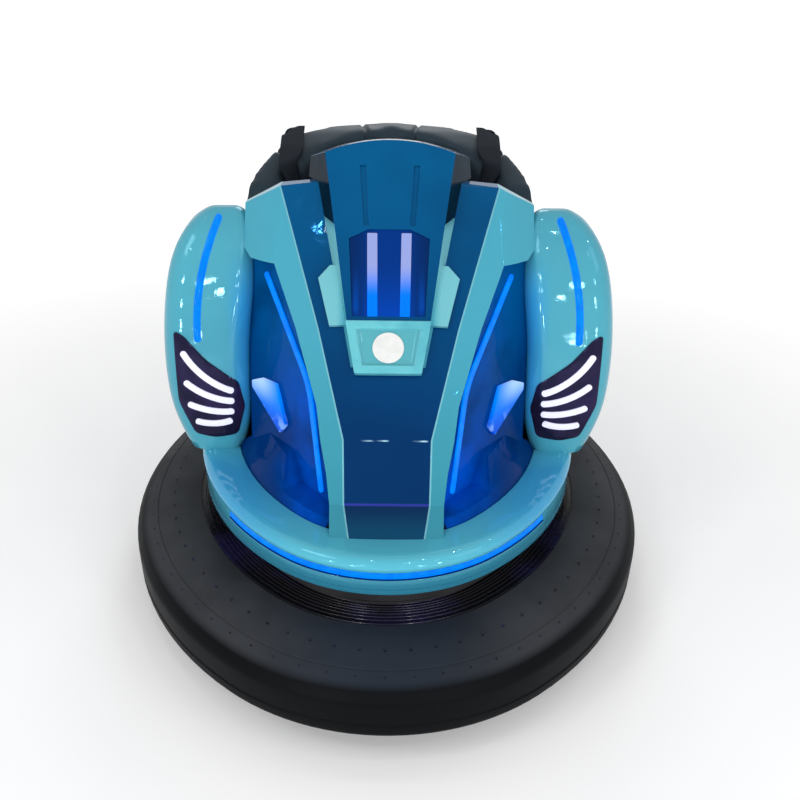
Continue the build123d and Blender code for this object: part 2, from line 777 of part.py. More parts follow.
PARTS = {
    "bumper_tyre": bumper_tyre(),
    "chassis_rim": chassis_rim(),
    "chassis_frame": chassis_frame(),
    "floor_pan": floor_pan(),
    "tub_shell": tub,
    "front_led_strip": front_led_strip(),
    "front_deck": front_deck(),
    "hood_shell": hood_shell() - tub,
    "pod_cowl": pod_cowl(),
    "grille_panel": grille_panel(),
    "grille_bars": grille_bars(),
    "number_plaque": number_plaque(),
    "plaque_disc": plaque_disc(),
    "fender_right": fender_right,
    "fender_left": mirrored(fender_right),
    "fender_leds": pair(fender_light),
    "wing_lamps": pair(lamp_panel - lamp_bars),
    "wing_bars": pair(lamp_bars),
    "headlamps": headlamps(),
    "hood_leds": scoop_leds(),
    "rear_body": rear,
    "tail_lamps": tail_lamps(rear),
    "charging_socket": charging_socket(),
    "seat_base": seat_base(),
    "seat_cushion": seat_cushion(),
    "seat_back": seat_back(),
    "harness_straps": harness_straps(),
    "battery": battery(),
    "dashboard": dashboard(),
    "steering_column": steering_column(),
    "pedal": pedal(),
    "rear_axle": rear_axle(),
    "steering_wheel": steering_wheel(),
    "steering_fork": steering_fork(),
    "drive_hub": drive_hub,
    "drive_tyre": drive_tyre,
    "rear_hub_left": rear_hub_left,
    "rear_tyre_left": rear_tyre_left,
    "rear_hub_right": rear_hub_right,
    "rear_tyre_right": rear_tyre_right,
}

for name, shape in PARTS.items():
    solids = shape if isinstance(shape, Compound) else Compound(children=list(shape.solids()))
    export_step(solids, f"parts/{name}.step")
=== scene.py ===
import json
import math
from collections import namedtuple
from contextlib import contextmanager

import bmesh
import bpy
from mathutils import Matrix, Vector
from mathutils.bvhtree import BVHTree


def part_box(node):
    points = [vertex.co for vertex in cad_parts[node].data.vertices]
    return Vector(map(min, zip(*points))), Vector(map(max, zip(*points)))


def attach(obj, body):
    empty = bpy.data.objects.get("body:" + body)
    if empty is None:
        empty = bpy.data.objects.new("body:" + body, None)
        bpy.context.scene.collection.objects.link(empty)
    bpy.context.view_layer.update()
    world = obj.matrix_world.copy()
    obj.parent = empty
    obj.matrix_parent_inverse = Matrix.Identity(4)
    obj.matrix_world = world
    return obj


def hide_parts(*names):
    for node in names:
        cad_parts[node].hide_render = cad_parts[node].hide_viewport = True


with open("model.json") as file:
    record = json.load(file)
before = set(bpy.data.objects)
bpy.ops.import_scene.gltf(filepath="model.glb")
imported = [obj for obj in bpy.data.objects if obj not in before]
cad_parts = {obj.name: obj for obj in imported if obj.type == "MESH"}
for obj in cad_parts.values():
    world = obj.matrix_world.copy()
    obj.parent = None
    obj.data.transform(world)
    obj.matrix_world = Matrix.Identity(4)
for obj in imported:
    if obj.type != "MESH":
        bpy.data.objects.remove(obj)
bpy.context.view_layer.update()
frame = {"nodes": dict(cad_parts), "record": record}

NODES = frame["nodes"]
UP = Vector((0, 0, 1))

bl_info = {
    "name": "Bumper car dress",
    "version": (1, 0, 0),
    "blender": (4, 5, 0),
    "location": "View3D > Sidebar > Bumper car",
    "description": "Finishes, lamps, upholstery and stage for a small electric bumper car",
    "category": "Object",
}


# Settings

def colour(name, text, value):
    return bpy.props.FloatVectorProperty(
        name=name, description=text, subtype="COLOR", size=3, min=0, max=1, default=value)


def length(name, text, value):
    return number(name, text, value, min=0, unit="LENGTH")


def number(name, text, value, **limits):
    return bpy.props.FloatProperty(name=name, description=text, default=value, **limits)


class PaintSettings(bpy.types.PropertyGroup):
    """Colours of the car's finishes, in linear light."""
    teal: colour("Teal", "Pale paint of the outer shell", (0.066, 0.345, 0.445))
    # teal_low is the pale paint with painted shade low down; it also tints random patches
    teal_low: colour("Teal, low", "Pale paint near the ring", (0.028, 0.195, 0.30))
    azure: colour("Azure", "Lamp light that falls on the pale paint", (0.03, 0.30, 0.62))
    # blue_top and blue_low are one dark paint, with painted shade deepening it towards the foot;
    # blue_low also tints random patches
    blue_top: colour("Blue, top", "Dark paint at the top of the hood", (0.0, 0.088, 0.225))
    blue_low: colour("Blue, low", "Dark paint at the foot of the hood", (0.0, 0.021, 0.10))
    lamp: colour("Lamp", "Light of the strip lamps", (0.0, 0.18, 0.96))
    wing_bar: colour("Wing bar", "White bars of the wing lamps", (0.72, 0.72, 0.88))
    ring: colour("Ring", "Rubber of the bumper ring", (0.040, 0.043, 0.049))
    vinyl: colour("Vinyl", "Seat cover", (0.017, 0.027, 0.037))


class RingSettings(bpy.types.PropertyGroup):
    """Sizes of the bumper ring."""
    half_width: length("Half width", "Middle to the outer wall, across", 0.600)
    half_length: length("Half length", "Middle to the outer wall, along", 0.700)
    end_radius: length("End radius", "Radius of the outer wall at nose and tail", 0.500)
    width: length("Width", "Outer wall to the bead's end", 0.227)
    low: length("Underside", "Above the floor", 0.055)
    top: length("Top", "Above the floor", 0.205)


class TubSettings(bpy.types.PropertyGroup):
    """Sizes of the body tub, its lip and its lamp groove."""
    half_width: length("Half width", "Middle to the tub's wall, across", 0.431)
    half_length: length("Half length", "Middle to the tub's wall, along", 0.518)
    end_radius: length("End radius", "Radius of the wall at nose and tail", 0.345)
    low: length("Underside", "Above the floor", 0.250)
    lip_out: length("Lip overhang", "Lip beyond the wall at the nose", 0.025)
    lip_width: length("Lip width", "Flat of the lip", 0.081)
    lip_top: length("Lip top", "Above the floor", 0.350)
    lip_low: length("Lip underside", "Above the floor", 0.318)
    groove_depth: length("Groove depth", "Lamp groove in the wall", 0.012)
    groove_back: length("Groove end", "Groove's end, in front of the middle", 0.318)


class SeatSettings(bpy.types.PropertyGroup):
    """How the padded seat is made."""
    voxel: length("Voxel", "Size of the cloth mesh", 0.008)
    pressure: number("Pressure", "Air in the pads", 4.0, min=0)
    swell: length("Swell", "Most that a point of a pad may move", 0.008)
    seam_depth: length("Seam depth", "How far a seam draws the cover in", 0.007)


class CameraSettings(bpy.types.PropertyGroup):
    """Place of the camera, as the photograph was taken."""
    distance: length("Distance", "In front of the car's middle", 1.765)
    height: length("Height", "Above the floor", 1.356)
    pitch: number("Pitch", "Below the horizon", math.radians(29.8), unit="ROTATION")
    roll: number("Roll", "Right side down", math.radians(0.6), unit="ROTATION")
    focal_px: number("Focal length", "In pixels of an 800 pixel frame", 850)
    middle_x: number("Middle X", "Optical centre in the frame, pixels", 387.5)
    middle_y: number("Middle Y", "Optical centre in the frame, pixels", 419)


# Shader helpers

class Graph:
    """A node tree that grows by short calls."""

    def __init__(self, tree):
        self.tree = tree

    def feed(self, socket, value):
        if isinstance(value, bpy.types.NodeSocket):
            self.tree.links.new(value, socket)
        elif socket.type == "RGBA":
            socket.default_value = (*value, 1)
        else:
            socket.default_value = value

    def fill(self, node, inputs):
        """Feed a node's inputs by name, with _ for a blank."""
        for key, value in inputs.items():
            self.feed(node.inputs[key.replace("_", " ")], value)
        return node

    def node(self, kind, **inputs):
        return self.fill(self.tree.nodes.new(kind), inputs)

    def group(self, group, **inputs):
        made = self.tree.nodes.new("ShaderNodeGroup")
        made.node_tree = group
        return self.fill(made, inputs).outputs

    def place(self):
        return self.node("ShaderNodeTexCoord").outputs["Object"]

    def axis(self, name):
        return self.node("ShaderNodeSeparateXYZ", Vector=self.place()).outputs[name]

    def aside(self):
        """Distance from the middle plane."""
        return self.math("ABSOLUTE", self.axis("X"))

    def math(self, operation, *values):
        made = self.tree.nodes.new("ShaderNodeMath")
        made.operation = operation
        for socket, value in zip(made.inputs, values):
            self.feed(socket, value)
        return made.outputs[0]

    def product(self, first, *others):
        for other in others:
            first = self.math("MULTIPLY", first, other)
        return first

    def scaled(self, value, factor, start):
        return self.math("MULTIPLY_ADD", value, factor, start)

    def span(self, value, low, high, smooth=True):
        """0 at low and 1 at high."""
        made = self.node("ShaderNodeMapRange", Value=value, From_Min=low, From_Max=high)
        made.interpolation_type = "SMOOTHSTEP" if smooth else "LINEAR"
        return made.outputs["Result"]

    def by(self, axis, low, high):
        """Mask from one place on an axis to another."""
        return self.span(self.axis(axis), low, high)

    def off(self, low, high):
        """Mask from one distance from the middle plane to another."""
        return self.span(self.aside(), low, high)

    def noise(self, scale, detail):
        made = self.node("ShaderNodeTexNoise", Vector=self.place(), Scale=scale, Detail=detail)
        return made.outputs["Fac"]

    def cloud(self, scale, detail, low, high):
        """Mask of soft patches."""
        return self.span(self.noise(scale, detail), low, high)

    def curve(self, value, stops):
        """Straight runs through stops (input, output)."""
        low = stops[0][0]
        high = stops[-1][0]
        made = self.node("ShaderNodeFloatCurve", Value=self.span(value, low, high, smooth=False))
        points = made.mapping.curves[0].points
        while len(points) < len(stops):
            points.new(0.5, 0.5)
        for point, (where, level) in zip(points, stops):
            point.location = ((where - low) / (high - low), level)
            point.handle_type = "VECTOR"
        made.mapping.update()
        return made.outputs["Value"]

    def mix(self, share, first, second):
        made = self.tree.nodes.new("ShaderNodeMix")
        made.data_type = "RGBA"
        self.fill(made, {"Factor": share, "A": first, "B": second})
        return made.outputs["Result"]

    def layers(self, base, *coats):
        """Lay colours over a base; each coat is a mask and its colour."""
        for mask, coat in coats:
            base = self.mix(mask, base, coat)
        return base


class Shade(Graph):
    """A material."""

    def __init__(self, name):
        self.material = bpy.data.materials.new(name)
        self.material.use_nodes = True
        super().__init__(self.material.node_tree)
        self.surface = self.tree.nodes["Principled BSDF"]

    def set(self, **inputs):
        self.fill(self.surface, inputs)

    def bump(self, height, strength, distance):
        """Add a bump to those that the surface has."""
        made = self.node("ShaderNodeBump", Height=height, Strength=strength, Distance=distance)
        normal = self.surface.inputs["Normal"]
        if normal.is_linked:
            self.feed(made.inputs["Normal"], normal.links[0].from_socket)
        self.feed(normal, made.outputs["Normal"])


def new_group(name, inputs, outputs):
    """Shader group of single values: its graph, its inputs with defaults, its outputs."""
    group = bpy.data.node_groups.new(name, "ShaderNodeTree")
    for way, sockets in (("INPUT", inputs), ("OUTPUT", outputs)):
        for socket in sockets:
            made = group.interface.new_socket(
                name=socket, in_out=way, socket_type="NodeSocketFloat")
            if way == "INPUT":
                made.default_value = inputs[socket]
    graph = Graph(group)
    return graph, graph.node("NodeGroupInput").outputs, graph.node("NodeGroupOutput").inputs


def gloss_group():
    """Hand-laid gloss: slow waves in the surface, fine scratches and dull spots."""
    graph, start, end = new_group(
        "hand_laid_gloss", {"Wave": 0.6, "Rough": 0.1}, ("Roughness", "Height"))
    slow = graph.math("ADD", graph.noise(7, 1), graph.product(graph.noise(24, 2), 0.25))
    scratches = graph.product(graph.noise(260, 1), 0.012)
    waves = graph.math("ADD", graph.product(slow, start["Wave"]), scratches)
    dull = graph.node(
        "ShaderNodeMapRange", Value=graph.noise(34, 6),
        From_Min=0.45, From_Max=0.75, To_Min=0.0, To_Max=0.07)
    graph.feed(end["Height"], waves)
    graph.feed(end["Roughness"], graph.math("ADD", dull.outputs["Result"], start["Rough"]))
    return graph.tree


def grain_group():
    """Leather-like grain of small cells, and a cloud for darker patches."""
    graph, start, end = new_group("cover_grain", {"Scale": 320.0}, ("Height", "Shade"))
    cells = graph.node("ShaderNodeTexVoronoi", Vector=graph.place(), Scale=start["Scale"])
    cells.feature = "DISTANCE_TO_EDGE"
    graph.feed(end["Height"], cells.outputs["Distance"])
    graph.feed(end["Shade"], graph.noise(7, 5))
    return graph.tree


def weave_group():
    """Crossed ribs of a woven band."""
    graph, start, end = new_group("band_weave", {"Scale": 300.0}, ("Height",))
    ribs = []
    for direction in ("DIAGONAL", "Z"):
        wave = graph.node("ShaderNodeTexWave", Vector=graph.place(), Scale=start["Scale"])
        wave.bands_direction = direction
        ribs.append(wave.outputs["Fac"])
    graph.feed(end["Height"], graph.product(*ribs))
    return graph.tree


# Colours, in linear light. Masks are given by two places in metres, or by two
# levels of noise: where a colour starts, and where it is full.

PALE_TINT = (0.45, 0.85, 1.0)
DEEP_TINT = (0.06, 0.40, 1.0)
LAMP_TINT = (0.1, 0.4, 1.0)
FLANK_HIGHLIGHT = (0.16, 0.47, 0.53)
FLANK_SHADE = (0.0, 0.05, 0.11)
STRIPE_EDGE_HIGHLIGHT = (0.22, 0.55, 0.62)
HOOD_LOW_SHADE = (0.045, 0.27, 0.34)
TOE_DEEP = (0.001, 0.012, 0.055)
TOE_LIP_REFLECTION = (0.002, 0.045, 0.10)
TOE_LINE_REFLECTION = (0.03, 0.03, 0.30)
FOLD_GLINT = (0.40, 0.66, 0.80)
SCOOP_LOW_SHADE = (0.0, 0.032, 0.17)
SCOOP_HIGH = (0.0, 0.080, 0.26)
SCOOP_LIT = (0.0, 0.085, 0.60)
SCOOP_STREAK = (0.0, 0.012, 0.06)
GRILLE_DARK = (0.001, 0.010, 0.075)
GRILLE_GLOW = (0.0, 0.060, 0.56)
GRILLE_SIDE = (0.0, 0.11, 0.75)
DIODE = (0.0, 0.235, 1.0)
BAR_TOP = (0.34, 0.37, 0.62)
BAR_FOOT = (0.26, 0.33, 0.66)
KITE_BLUE = (0.0, 0.20, 0.88)
KITE_DEEP = (0.0, 0.02, 0.42)
KITE_WHITE = (0.50, 0.70, 0.92)
KITE_STREAK = (0.34, 0.56, 0.90)
RING_WALL_SHADE = (0.0015, 0.002, 0.003)
RING_NOSE = (0.014, 0.022, 0.036)
BEAD_BLACK = (0.004, 0.004, 0.006)
BEAD_LAMP_LIGHT = (0.012, 0.010, 0.045)
SEAT_HOLLOW_SHADE = (0.003, 0.005, 0.008)
STRIPE = (
    # height, half width of the hood's dark stripe
    (0.34, 0.071), (0.378, 0.085), (0.502, 0.086),
    (0.674, 0.140), (0.904, 0.224), (0.92, 0.224),
)
FOLD_HEIGHT = 0.5015


def paint(name, part=1):
    """A colour of the settings, made brighter or darker by a factor."""
    return tuple(channel * part for channel in getattr(bpy.context.scene.car_paint, name))


def patchy(scale, detail, low, high, first, second):
    """Colour of two tones in soft patches."""
    return lambda shade: shade.mix(shade.cloud(scale, detail, low, high), first, second)


def teal_colour(shade):
    """Pale paint, darker low down with painted shade, and lit azure beside the lamps with painted
    lamp light.
    """
    # painted shade: the pale paint darkens towards the ring
    base = shade.mix(shade.by("Z", 0.25, 0.36), paint("teal_low"), paint("teal"))
    patches = shade.product(shade.cloud(2.6, 3, 0.35, 0.7), 0.35)
    lit = shade.product(
        shade.off(0.345, 0.298), shade.by("Z", 0.80, 0.66),
        shade.by("Z", 0.36, 0.42), shade.by("Y", 0.0, -0.05))
    return shade.layers(base, (patches, paint("teal_low")), (lit, paint("azure")))


def lip_colour(shade):
    """Paint of the tub: darker below the lip with painted shade, lighter on the lip's top with a
    painted highlight, and azure with painted lamp light at both sides of the nose.
    """
    # painted shade low on the wall, and a painted highlight on the lip's top
    base = shade.mix(shade.by("Z", 0.26, 0.345), paint("teal_low"), paint("teal", 1.25))
    lit = shade.product(
        shade.off(0.14, 0.32), shade.by("Y", -0.1, -0.24), shade.by("Z", 0.315, 0.34), 0.7)
    return shade.mix(lit, base, paint("azure"))


def flank_colour(shade):
    """Sides of the pod: teal, paler at its foot with a painted highlight, and darkened by painted
    shade where they run out at its top.
    """
    # painted highlight on the outer part of the ears
    low = shade.mix(shade.off(0.085, 0.105), paint("teal"), FLANK_HIGHLIGHT)
    # painted shade where the flanks run out at the pod's top
    return shade.mix(shade.by("Z", 0.835, 0.875), low, FLANK_SHADE)


def blue_colour(shade):
    """Dark paint, deeper towards the foot with painted shade, and darker in random patches."""
    # painted shade: the dark paint deepens from the top of the hood to its foot
    height = shade.span(shade.axis("Z"), 0.5, 0.95, smooth=False)
    base = shade.mix(height, paint("blue_low"), paint("blue_top"))
    patches = shade.product(shade.cloud(3.2, 3, 0.35, 0.7), 0.4)
    return shade.mix(patches, base, paint("blue_low", 0.6))


def inside_stripe(shade):
    """How far inside the hood's dark stripe a spot lies."""
    return shade.math("SUBTRACT", shade.curve(shade.axis("Z"), STRIPE), shade.aside())


def hood_colour(shade):
    """Pale hood, darker low down with painted shade; a dark stripe down its middle with painted
    reflections at its toe, a painted highlight as the bright line at the stripe's edge, and a
    painted glint along its fold.
    """
    inside = inside_stripe(shade)
    height = shade.axis("Z")
    # the toe's dark paint grows lighter towards its foot, a painted reflection of the lip
    toe = shade.mix(shade.span(height, 0.378, 0.35), TOE_DEEP, TOE_LIP_REFLECTION)
    # painted reflection: a thin violet line along the toe's crease
    line = shade.product(shade.span(height, 0.3765, 0.3785), shade.span(height, 0.3825, 0.3805))
    dark = shade.layers(
        blue_colour(shade), (shade.span(height, 0.380, 0.3775), toe), (line, TOE_LINE_REFLECTION))
    # painted shade: the pale paint darkens towards the hood's foot
    pale = shade.mix(shade.span(height, 0.70, 0.42), paint("teal"), HOOD_LOW_SHADE)
    # painted highlight: a bright line along the stripe's edge
    edge = shade.span(shade.math("ABSOLUTE", inside), 0.0020, 0.0008)
    # painted glint: a broken bright line along the hood's fold
    off_fold = shade.math("ABSOLUTE", shade.math("SUBTRACT", height, FOLD_HEIGHT))
    fold_glint = shade.product(
        shade.span(off_fold, 0.0016, 0.0006), shade.cloud(17, 2, 0.46, 0.54),
        shade.span(inside, 0.002, 0.006))
    in_stripe = shade.span(inside, -0.0004, 0.0004)
    return shade.layers(pale, (in_stripe, dark), (edge, STRIPE_EDGE_HIGHLIGHT), (fold_glint, FOLD_GLINT))


def scoop_colour(shade):
    """Dark paint of the scoops, deeper low down with painted shade, and lit by painted light of
    the strip beside the hood.
    """
    # painted shade: the scoops darken towards their floor
    base = shade.mix(shade.by("Z", 0.38, 0.76), SCOOP_LOW_SHADE, SCOOP_HIGH)
    lit = shade.product(
        shade.off(0.27, 0.13), shade.scaled(shade.cloud(7, 3, 0.3, 0.7), 0.8, 0.2))
    streaks = shade.product(shade.cloud(8, 3, 0.45, 0.75), 0.5)
    return shade.layers(base, (lit, SCOOP_LIT), (streaks, SCOOP_STREAK))


def grille_colour(shade):
    """Deep blue glow between the two bars, darker at the sides and the top."""
    high = shade.by("Z", 0.80, 0.66)
    glow = shade.product(shade.off(0.075, 0.02), shade.scaled(high, 0.7, 0.3))
    beside = shade.product(
        shade.off(0.056, 0.064), shade.off(0.074, 0.067), high, shade.by("Z", 0.69, 0.72), 0.7)
    return shade.layers(GRILLE_DARK, (glow, GRILLE_GLOW), (beside, GRILLE_SIDE))


def strip_colour(shade):
    """Strip lamp with brighter patches where its diodes are."""
    return shade.mix(shade.cloud(45, 3, 0.35, 0.65), paint("lamp"), DIODE)


def bar_colour(shade):
    """Grille bar: pale at its top and its foot, bright blue between."""
    blue = shade.by("Z", 0.79, 0.735)
    foot = shade.by("Z", 0.683, 0.668)
    return shade.layers(BAR_TOP, (blue, paint("lamp")), (foot, BAR_FOOT))


def kite_colour(shade):
    """Headlamp: white at its outer top, azure, then deep blue at its tip."""
    base = shade.mix(shade.by("Z", 0.52, 0.445), KITE_BLUE, KITE_DEEP)
    pale = shade.product(shade.by("Z", 0.478, 0.53), shade.off(0.225, 0.275))
    streak = shade.product(shade.cloud(24, 2, 0.50, 0.60), shade.by("Z", 0.485, 0.455), 0.6)
    return shade.layers(base, (pale, KITE_WHITE), (streak, KITE_STREAK))


# Materials

def glossy(name, base, gloss, wave=0.6, rough=0.03, tint=PALE_TINT, level=0.5, coat=0.04):
    """Lacquered moulding; the tint is that of its pigment in the reflections."""
    shade = Shade(name)
    made = shade.group(gloss, Wave=wave, Rough=rough)
    shade.set(
        Base_Color=base(shade) if callable(base) else base,
        Roughness=made["Roughness"],
        Specular_IOR_Level=level,
        Specular_Tint=tint,
        Coat_Weight=coat,
        Coat_Roughness=0.02,
    )
    shade.bump(made["Height"], 0.7, 0.006)
    return shade


def glowing(name, base, light, strength):
    shade = Shade(name)
    shade.set(
        Base_Color=base,
        Roughness=0.25,
        Specular_IOR_Level=0.15,
        Specular_Tint=LAMP_TINT,
        Coat_Weight=0.04,
        Emission_Color=light(shade) if callable(light) else light,
        Emission_Strength=strength,
    )


def plain(name, base, rough, metal=0.0, height=0.1):
    """Moulded, painted or metal part with slight mottling and a fine grain."""
    shade = Shade(name)
    dark = tuple(part * 0.75 for part in base)
    cloud = shade.noise(10, 4)
    shade.set(
        Base_Color=shade.mix(shade.span(cloud, 0.35, 0.65), dark, base),
        Metallic=metal,
        Roughness=shade.scaled(cloud, 0.25, rough - 0.12),
    )
    shade.bump(shade.noise(480, 2), height, 0.001)


def ring_material():
    """Rubber ring: grey top, and a wall darkened nearly to black by painted shade."""
    shade = Shade("ring_skin")
    cloud = shade.noise(5, 6)
    grey = shade.mix(shade.span(cloud, 0.35, 0.7), paint("ring"), paint("ring", 0.62))
    nose = shade.product(shade.by("Y", -0.40, -0.56), shade.off(0.30, 0.05), 0.7)
    top = shade.mix(nose, grey, RING_NOSE)
    shade.set(
        # painted shade: the ring's wall below the shoulder is near black
        Base_Color=shade.mix(shade.by("Z", 0.170, 0.180), RING_WALL_SHADE, top),
        Roughness=shade.scaled(cloud, 0.28, 0.36),
        Specular_IOR_Level=0.06,
    )
    shade.bump(shade.noise(420, 3), 0.12, 0.001)


def bead_material():
    """Glossy black rubber with a violet cast at the nose, painted light of the nose lamp."""
    shade = Shade("ring_bead")
    # painted lamp light: a violet cast on the bead at the nose
    cast = shade.product(shade.by("Y", -0.1, -0.36), shade.cloud(7, 4, 0.4, 0.62))
    shade.set(
        Base_Color=shade.mix(cast, BEAD_BLACK, BEAD_LAMP_LIGHT),
        Roughness=shade.scaled(shade.noise(30, 5), 0.3, 0.12),
        Specular_IOR_Level=0.12,
        Coat_Weight=0.12,
        Coat_Roughness=0.1,
    )
    shade.bump(shade.noise(90, 4), 0.35, 0.0015)


def vinyl_material(grain):
    """Seat cover, darker in the seat's hollow with painted shade."""
    shade = Shade("seat_cover")
    made = shade.group(grain, Scale=420.0)
    worn = shade.mix(
        shade.span(made["Shade"], 0.35, 0.7), paint("vinyl"), paint("vinyl", 0.7))
    # painted shade in the seat's hollow
    hollow = shade.product(
        shade.by("Z", 0.93, 0.84), shade.by("Y", 0.42, 0.34), shade.off(0.30, 0.26), 0.75)
    shade.set(
        Base_Color=shade.mix(hollow, worn, SEAT_HOLLOW_SHADE),
        Roughness=shade.scaled(made["Shade"], 0.25, 0.3),
        Specular_IOR_Level=0.25,
        Specular_Tint=(0.55, 0.8, 1.0),
        Sheen_Weight=0.04,
    )
    shade.bump(made["Height"], 0.22, 0.0012)


def webbing_material(weave):
    shade = Shade("strap_weave")
    shade.set(Base_Color=(0.006, 0.010, 0.016), Roughness=0.8, Specular_IOR_Level=0.2)
    shade.bump(shade.group(weave, Scale=260.0)["Height"], 0.5, 0.0012)


class MakeFinishes(bpy.types.Operator):
    """Make the car's materials"""
    bl_idname = "bumper_car.make_finishes"
    bl_label = "Make the finishes"

    def execute(self, context):
        gloss = gloss_group()
        wing = patchy(14, 4, 0.4, 0.65, (0.008, 0.007, 0.02), (0.018, 0.012, 0.045))
        plaque = patchy(16, 3, 0.35, 0.7, (0.13, 0.50, 0.56), (0.08, 0.38, 0.47))
        disc = patchy(40, 4, 0.3, 0.7, (0.76, 0.77, 0.76), (0.68, 0.69, 0.68))
        shadow = patchy(12, 3, 0.35, 0.7, (0.001, 0.010, 0.020), (0.002, 0.016, 0.032))
        glossy("teal_paint", teal_colour, gloss)
        glossy("lip_paint", lip_colour, gloss)
        glossy("blue_paint", blue_colour, gloss, wave=0.8, tint=DEEP_TINT)
        hood = glossy("hood_paint", hood_colour, gloss, wave=0.8, tint=DEEP_TINT)
        hood.bump(hood.span(inside_stripe(hood), 0.0012, -0.0012), 0.8, 0.002)
        # painted shade for the pod's flanks high up
        glossy("pod_shadow", shadow, gloss, wave=0.3, tint=DEEP_TINT, level=0.03, coat=0.0)
        glossy("scoop_paint", scoop_colour, gloss, tint=DEEP_TINT, level=0.05, coat=0.0)
        glossy("flank_paint", flank_colour, gloss, wave=0.8, level=0.2)
        # painted shade: the plaque's recess is a darker teal
        glossy("recess_paint", (0.085, 0.37, 0.43), gloss, wave=0.8)
        glossy("groove_paint", (0.0, 0.02, 0.11), gloss, tint=DEEP_TINT)
        glossy("wing_black", wing, gloss, wave=0.5, tint=(0.3, 0.3, 0.8), level=0.3)
        glossy("plaque_paint", plaque, gloss, wave=0.5)
        glossy("disc_white", disc, gloss, wave=0.2, rough=0.2, tint=(1, 1, 1), level=0.3)
        glossy("tail_lens", (0.42, 0.008, 0.01), gloss, wave=0.3, tint=(1.0, 0.3, 0.3))
        glowing("strip_lamp", (0.0, 0.03, 0.15), strip_colour, 1.0)
        glowing("bar_lamp", (0.0, 0.03, 0.15), bar_colour, 1.0)
        glowing("grille_glow", (0.0, 0.01, 0.05), grille_colour, 0.8)
        glowing("kite_lamp", (0.0, 0.08, 0.4), kite_colour, 0.9)
        glowing("wing_bar", paint("wing_bar"), paint("wing_bar"), 0.25)
        ring_material()
        bead_material()
        vinyl_material(grain_group())
        webbing_material(weave_group())
        plain("black_moulding", (0.022, 0.022, 0.024), 0.5, height=0.25)
        plain("frame_paint", (0.03, 0.03, 0.034), 0.45)
        plain("bare_metal", (0.5, 0.5, 0.51), 0.35, metal=1.0)
        plain("road_rubber", (0.03, 0.03, 0.031), 0.75, height=0.4)
        return {"FINISHED"}


# Mesh helpers

Oval = namedtuple("Oval", "end_y end_r side_x side_r split")
ARC_STEP = math.radians(3)
SHARP = math.radians(35)
DOUBLES = 0.00002
TINY = 0.0001


def oval(half_width, half_length, end_radius):
    """Oval of four tangent arcs, two at the ends and two at the sides."""
    end_y = half_length - end_radius
    side_r = (half_width**2 + end_y**2 - end_radius**2) / (2 * (half_width - end_radius))
    side_x = side_r - half_width
    return Oval(end_y, end_radius, side_x, side_r, math.atan2(end_y, side_x))


def arcs(shape):
    """The oval's arcs: centre, radius, first angle and turn."""
    side = 2 * shape.split
    end = math.pi - side
    return (
        (Vector((-shape.side_x, 0, 0)), shape.side_r, -shape.split, side),
        (Vector((0, shape.end_y, 0)), shape.end_r, shape.split, end),
        (Vector((shape.side_x, 0, 0)), shape.side_r, math.pi - shape.split, side),
        (Vector((0, -shape.end_y, 0)), shape.end_r, math.pi + shape.split, end),
    )


def stations(shape, spacing, out):
    """Evenly spaced spots beside the oval, each with its outward direction."""
    for centre, radius, start, turn in arcs(shape):
        count = round(turn * radius / spacing)
        for step in range(count):
            angle = start + turn * (step + 0.5) / count
            aim = Vector((math.cos(angle), math.sin(angle), 0))
            yield centre + aim * (radius + out), aim


def out_from(shape, spot):
    """How far a spot lies outside the oval."""
    x = abs(spot.x)
    y = abs(spot.y)
    if math.atan2(y, x + shape.side_x) < shape.split:
        return math.hypot(x + shape.side_x, y) - shape.side_r
    return math.hypot(x, y - shape.end_y) - shape.end_r


def bevel(mesh, geom, reach, segments=3, affect="EDGES"):
    bmesh.ops.bevel(
        mesh, geom=geom, offset=reach, offset_type="OFFSET", segments=segments,
        profile=0.5, affect=affect, material=-1, clamp_overlap=True)


def outline(corners, rounding=(), segments=3):
    """New mesh of one face; each length in rounding rounds its corner."""
    mesh = bmesh.new()
    verts = [mesh.verts.new(corner) for corner in corners]
    mesh.faces.new(verts)
    for vert, reach in zip(verts, rounding):
        if reach:
            bevel(mesh, [vert], reach, segments, "VERTICES")
    return mesh


def section(rows, spot):
    """Closed line through rows (across, height, rounding); spot gives a row's place."""
    mesh = outline(
        [spot(across, height) for across, height, reach in rows], [row[2] for row in rows])
    bmesh.ops.delete(mesh, geom=mesh.faces[:], context="FACES_ONLY")
    return mesh


def carried(shape, rows):
    """Ring: a section (out from the oval, height, rounding) carried once round it."""
    aim = Vector((math.cos(shape.split), -math.sin(shape.split), 0))
    start = Vector((-shape.side_x, 0, 0)) + aim * shape.side_r
    mesh = section(rows, lambda out, height: start + aim * out + UP * height)
    last = mesh.verts[:] + mesh.edges[:]
    for centre, radius, begin, turn in arcs(shape):
        steps = round(turn / ARC_STEP)
        made = bmesh.ops.spin(mesh, geom=last, cent=centre, axis=UP, angle=turn, steps=steps)
        last = made["geom_last"]
    return close(mesh)


def turned(rows, steps=48):
    """Body of revolution round the Z axis: a section (radius, height, rounding)."""
    mesh = section(rows, lambda radius, height: (radius, 0, height))
    bmesh.ops.spin(
        mesh, geom=mesh.verts[:] + mesh.edges[:], cent=(0, 0, 0), axis=UP,
        angle=2 * math.pi, steps=steps, use_merge=True)
    return close(mesh)


def close(mesh):
    bmesh.ops.remove_doubles(mesh, verts=mesh.verts, dist=DOUBLES)
    bmesh.ops.recalc_face_normals(mesh, faces=mesh.faces)
    return mesh


def edges_of(parts):
    return [part for part in parts if isinstance(part, bmesh.types.BMEdge)]


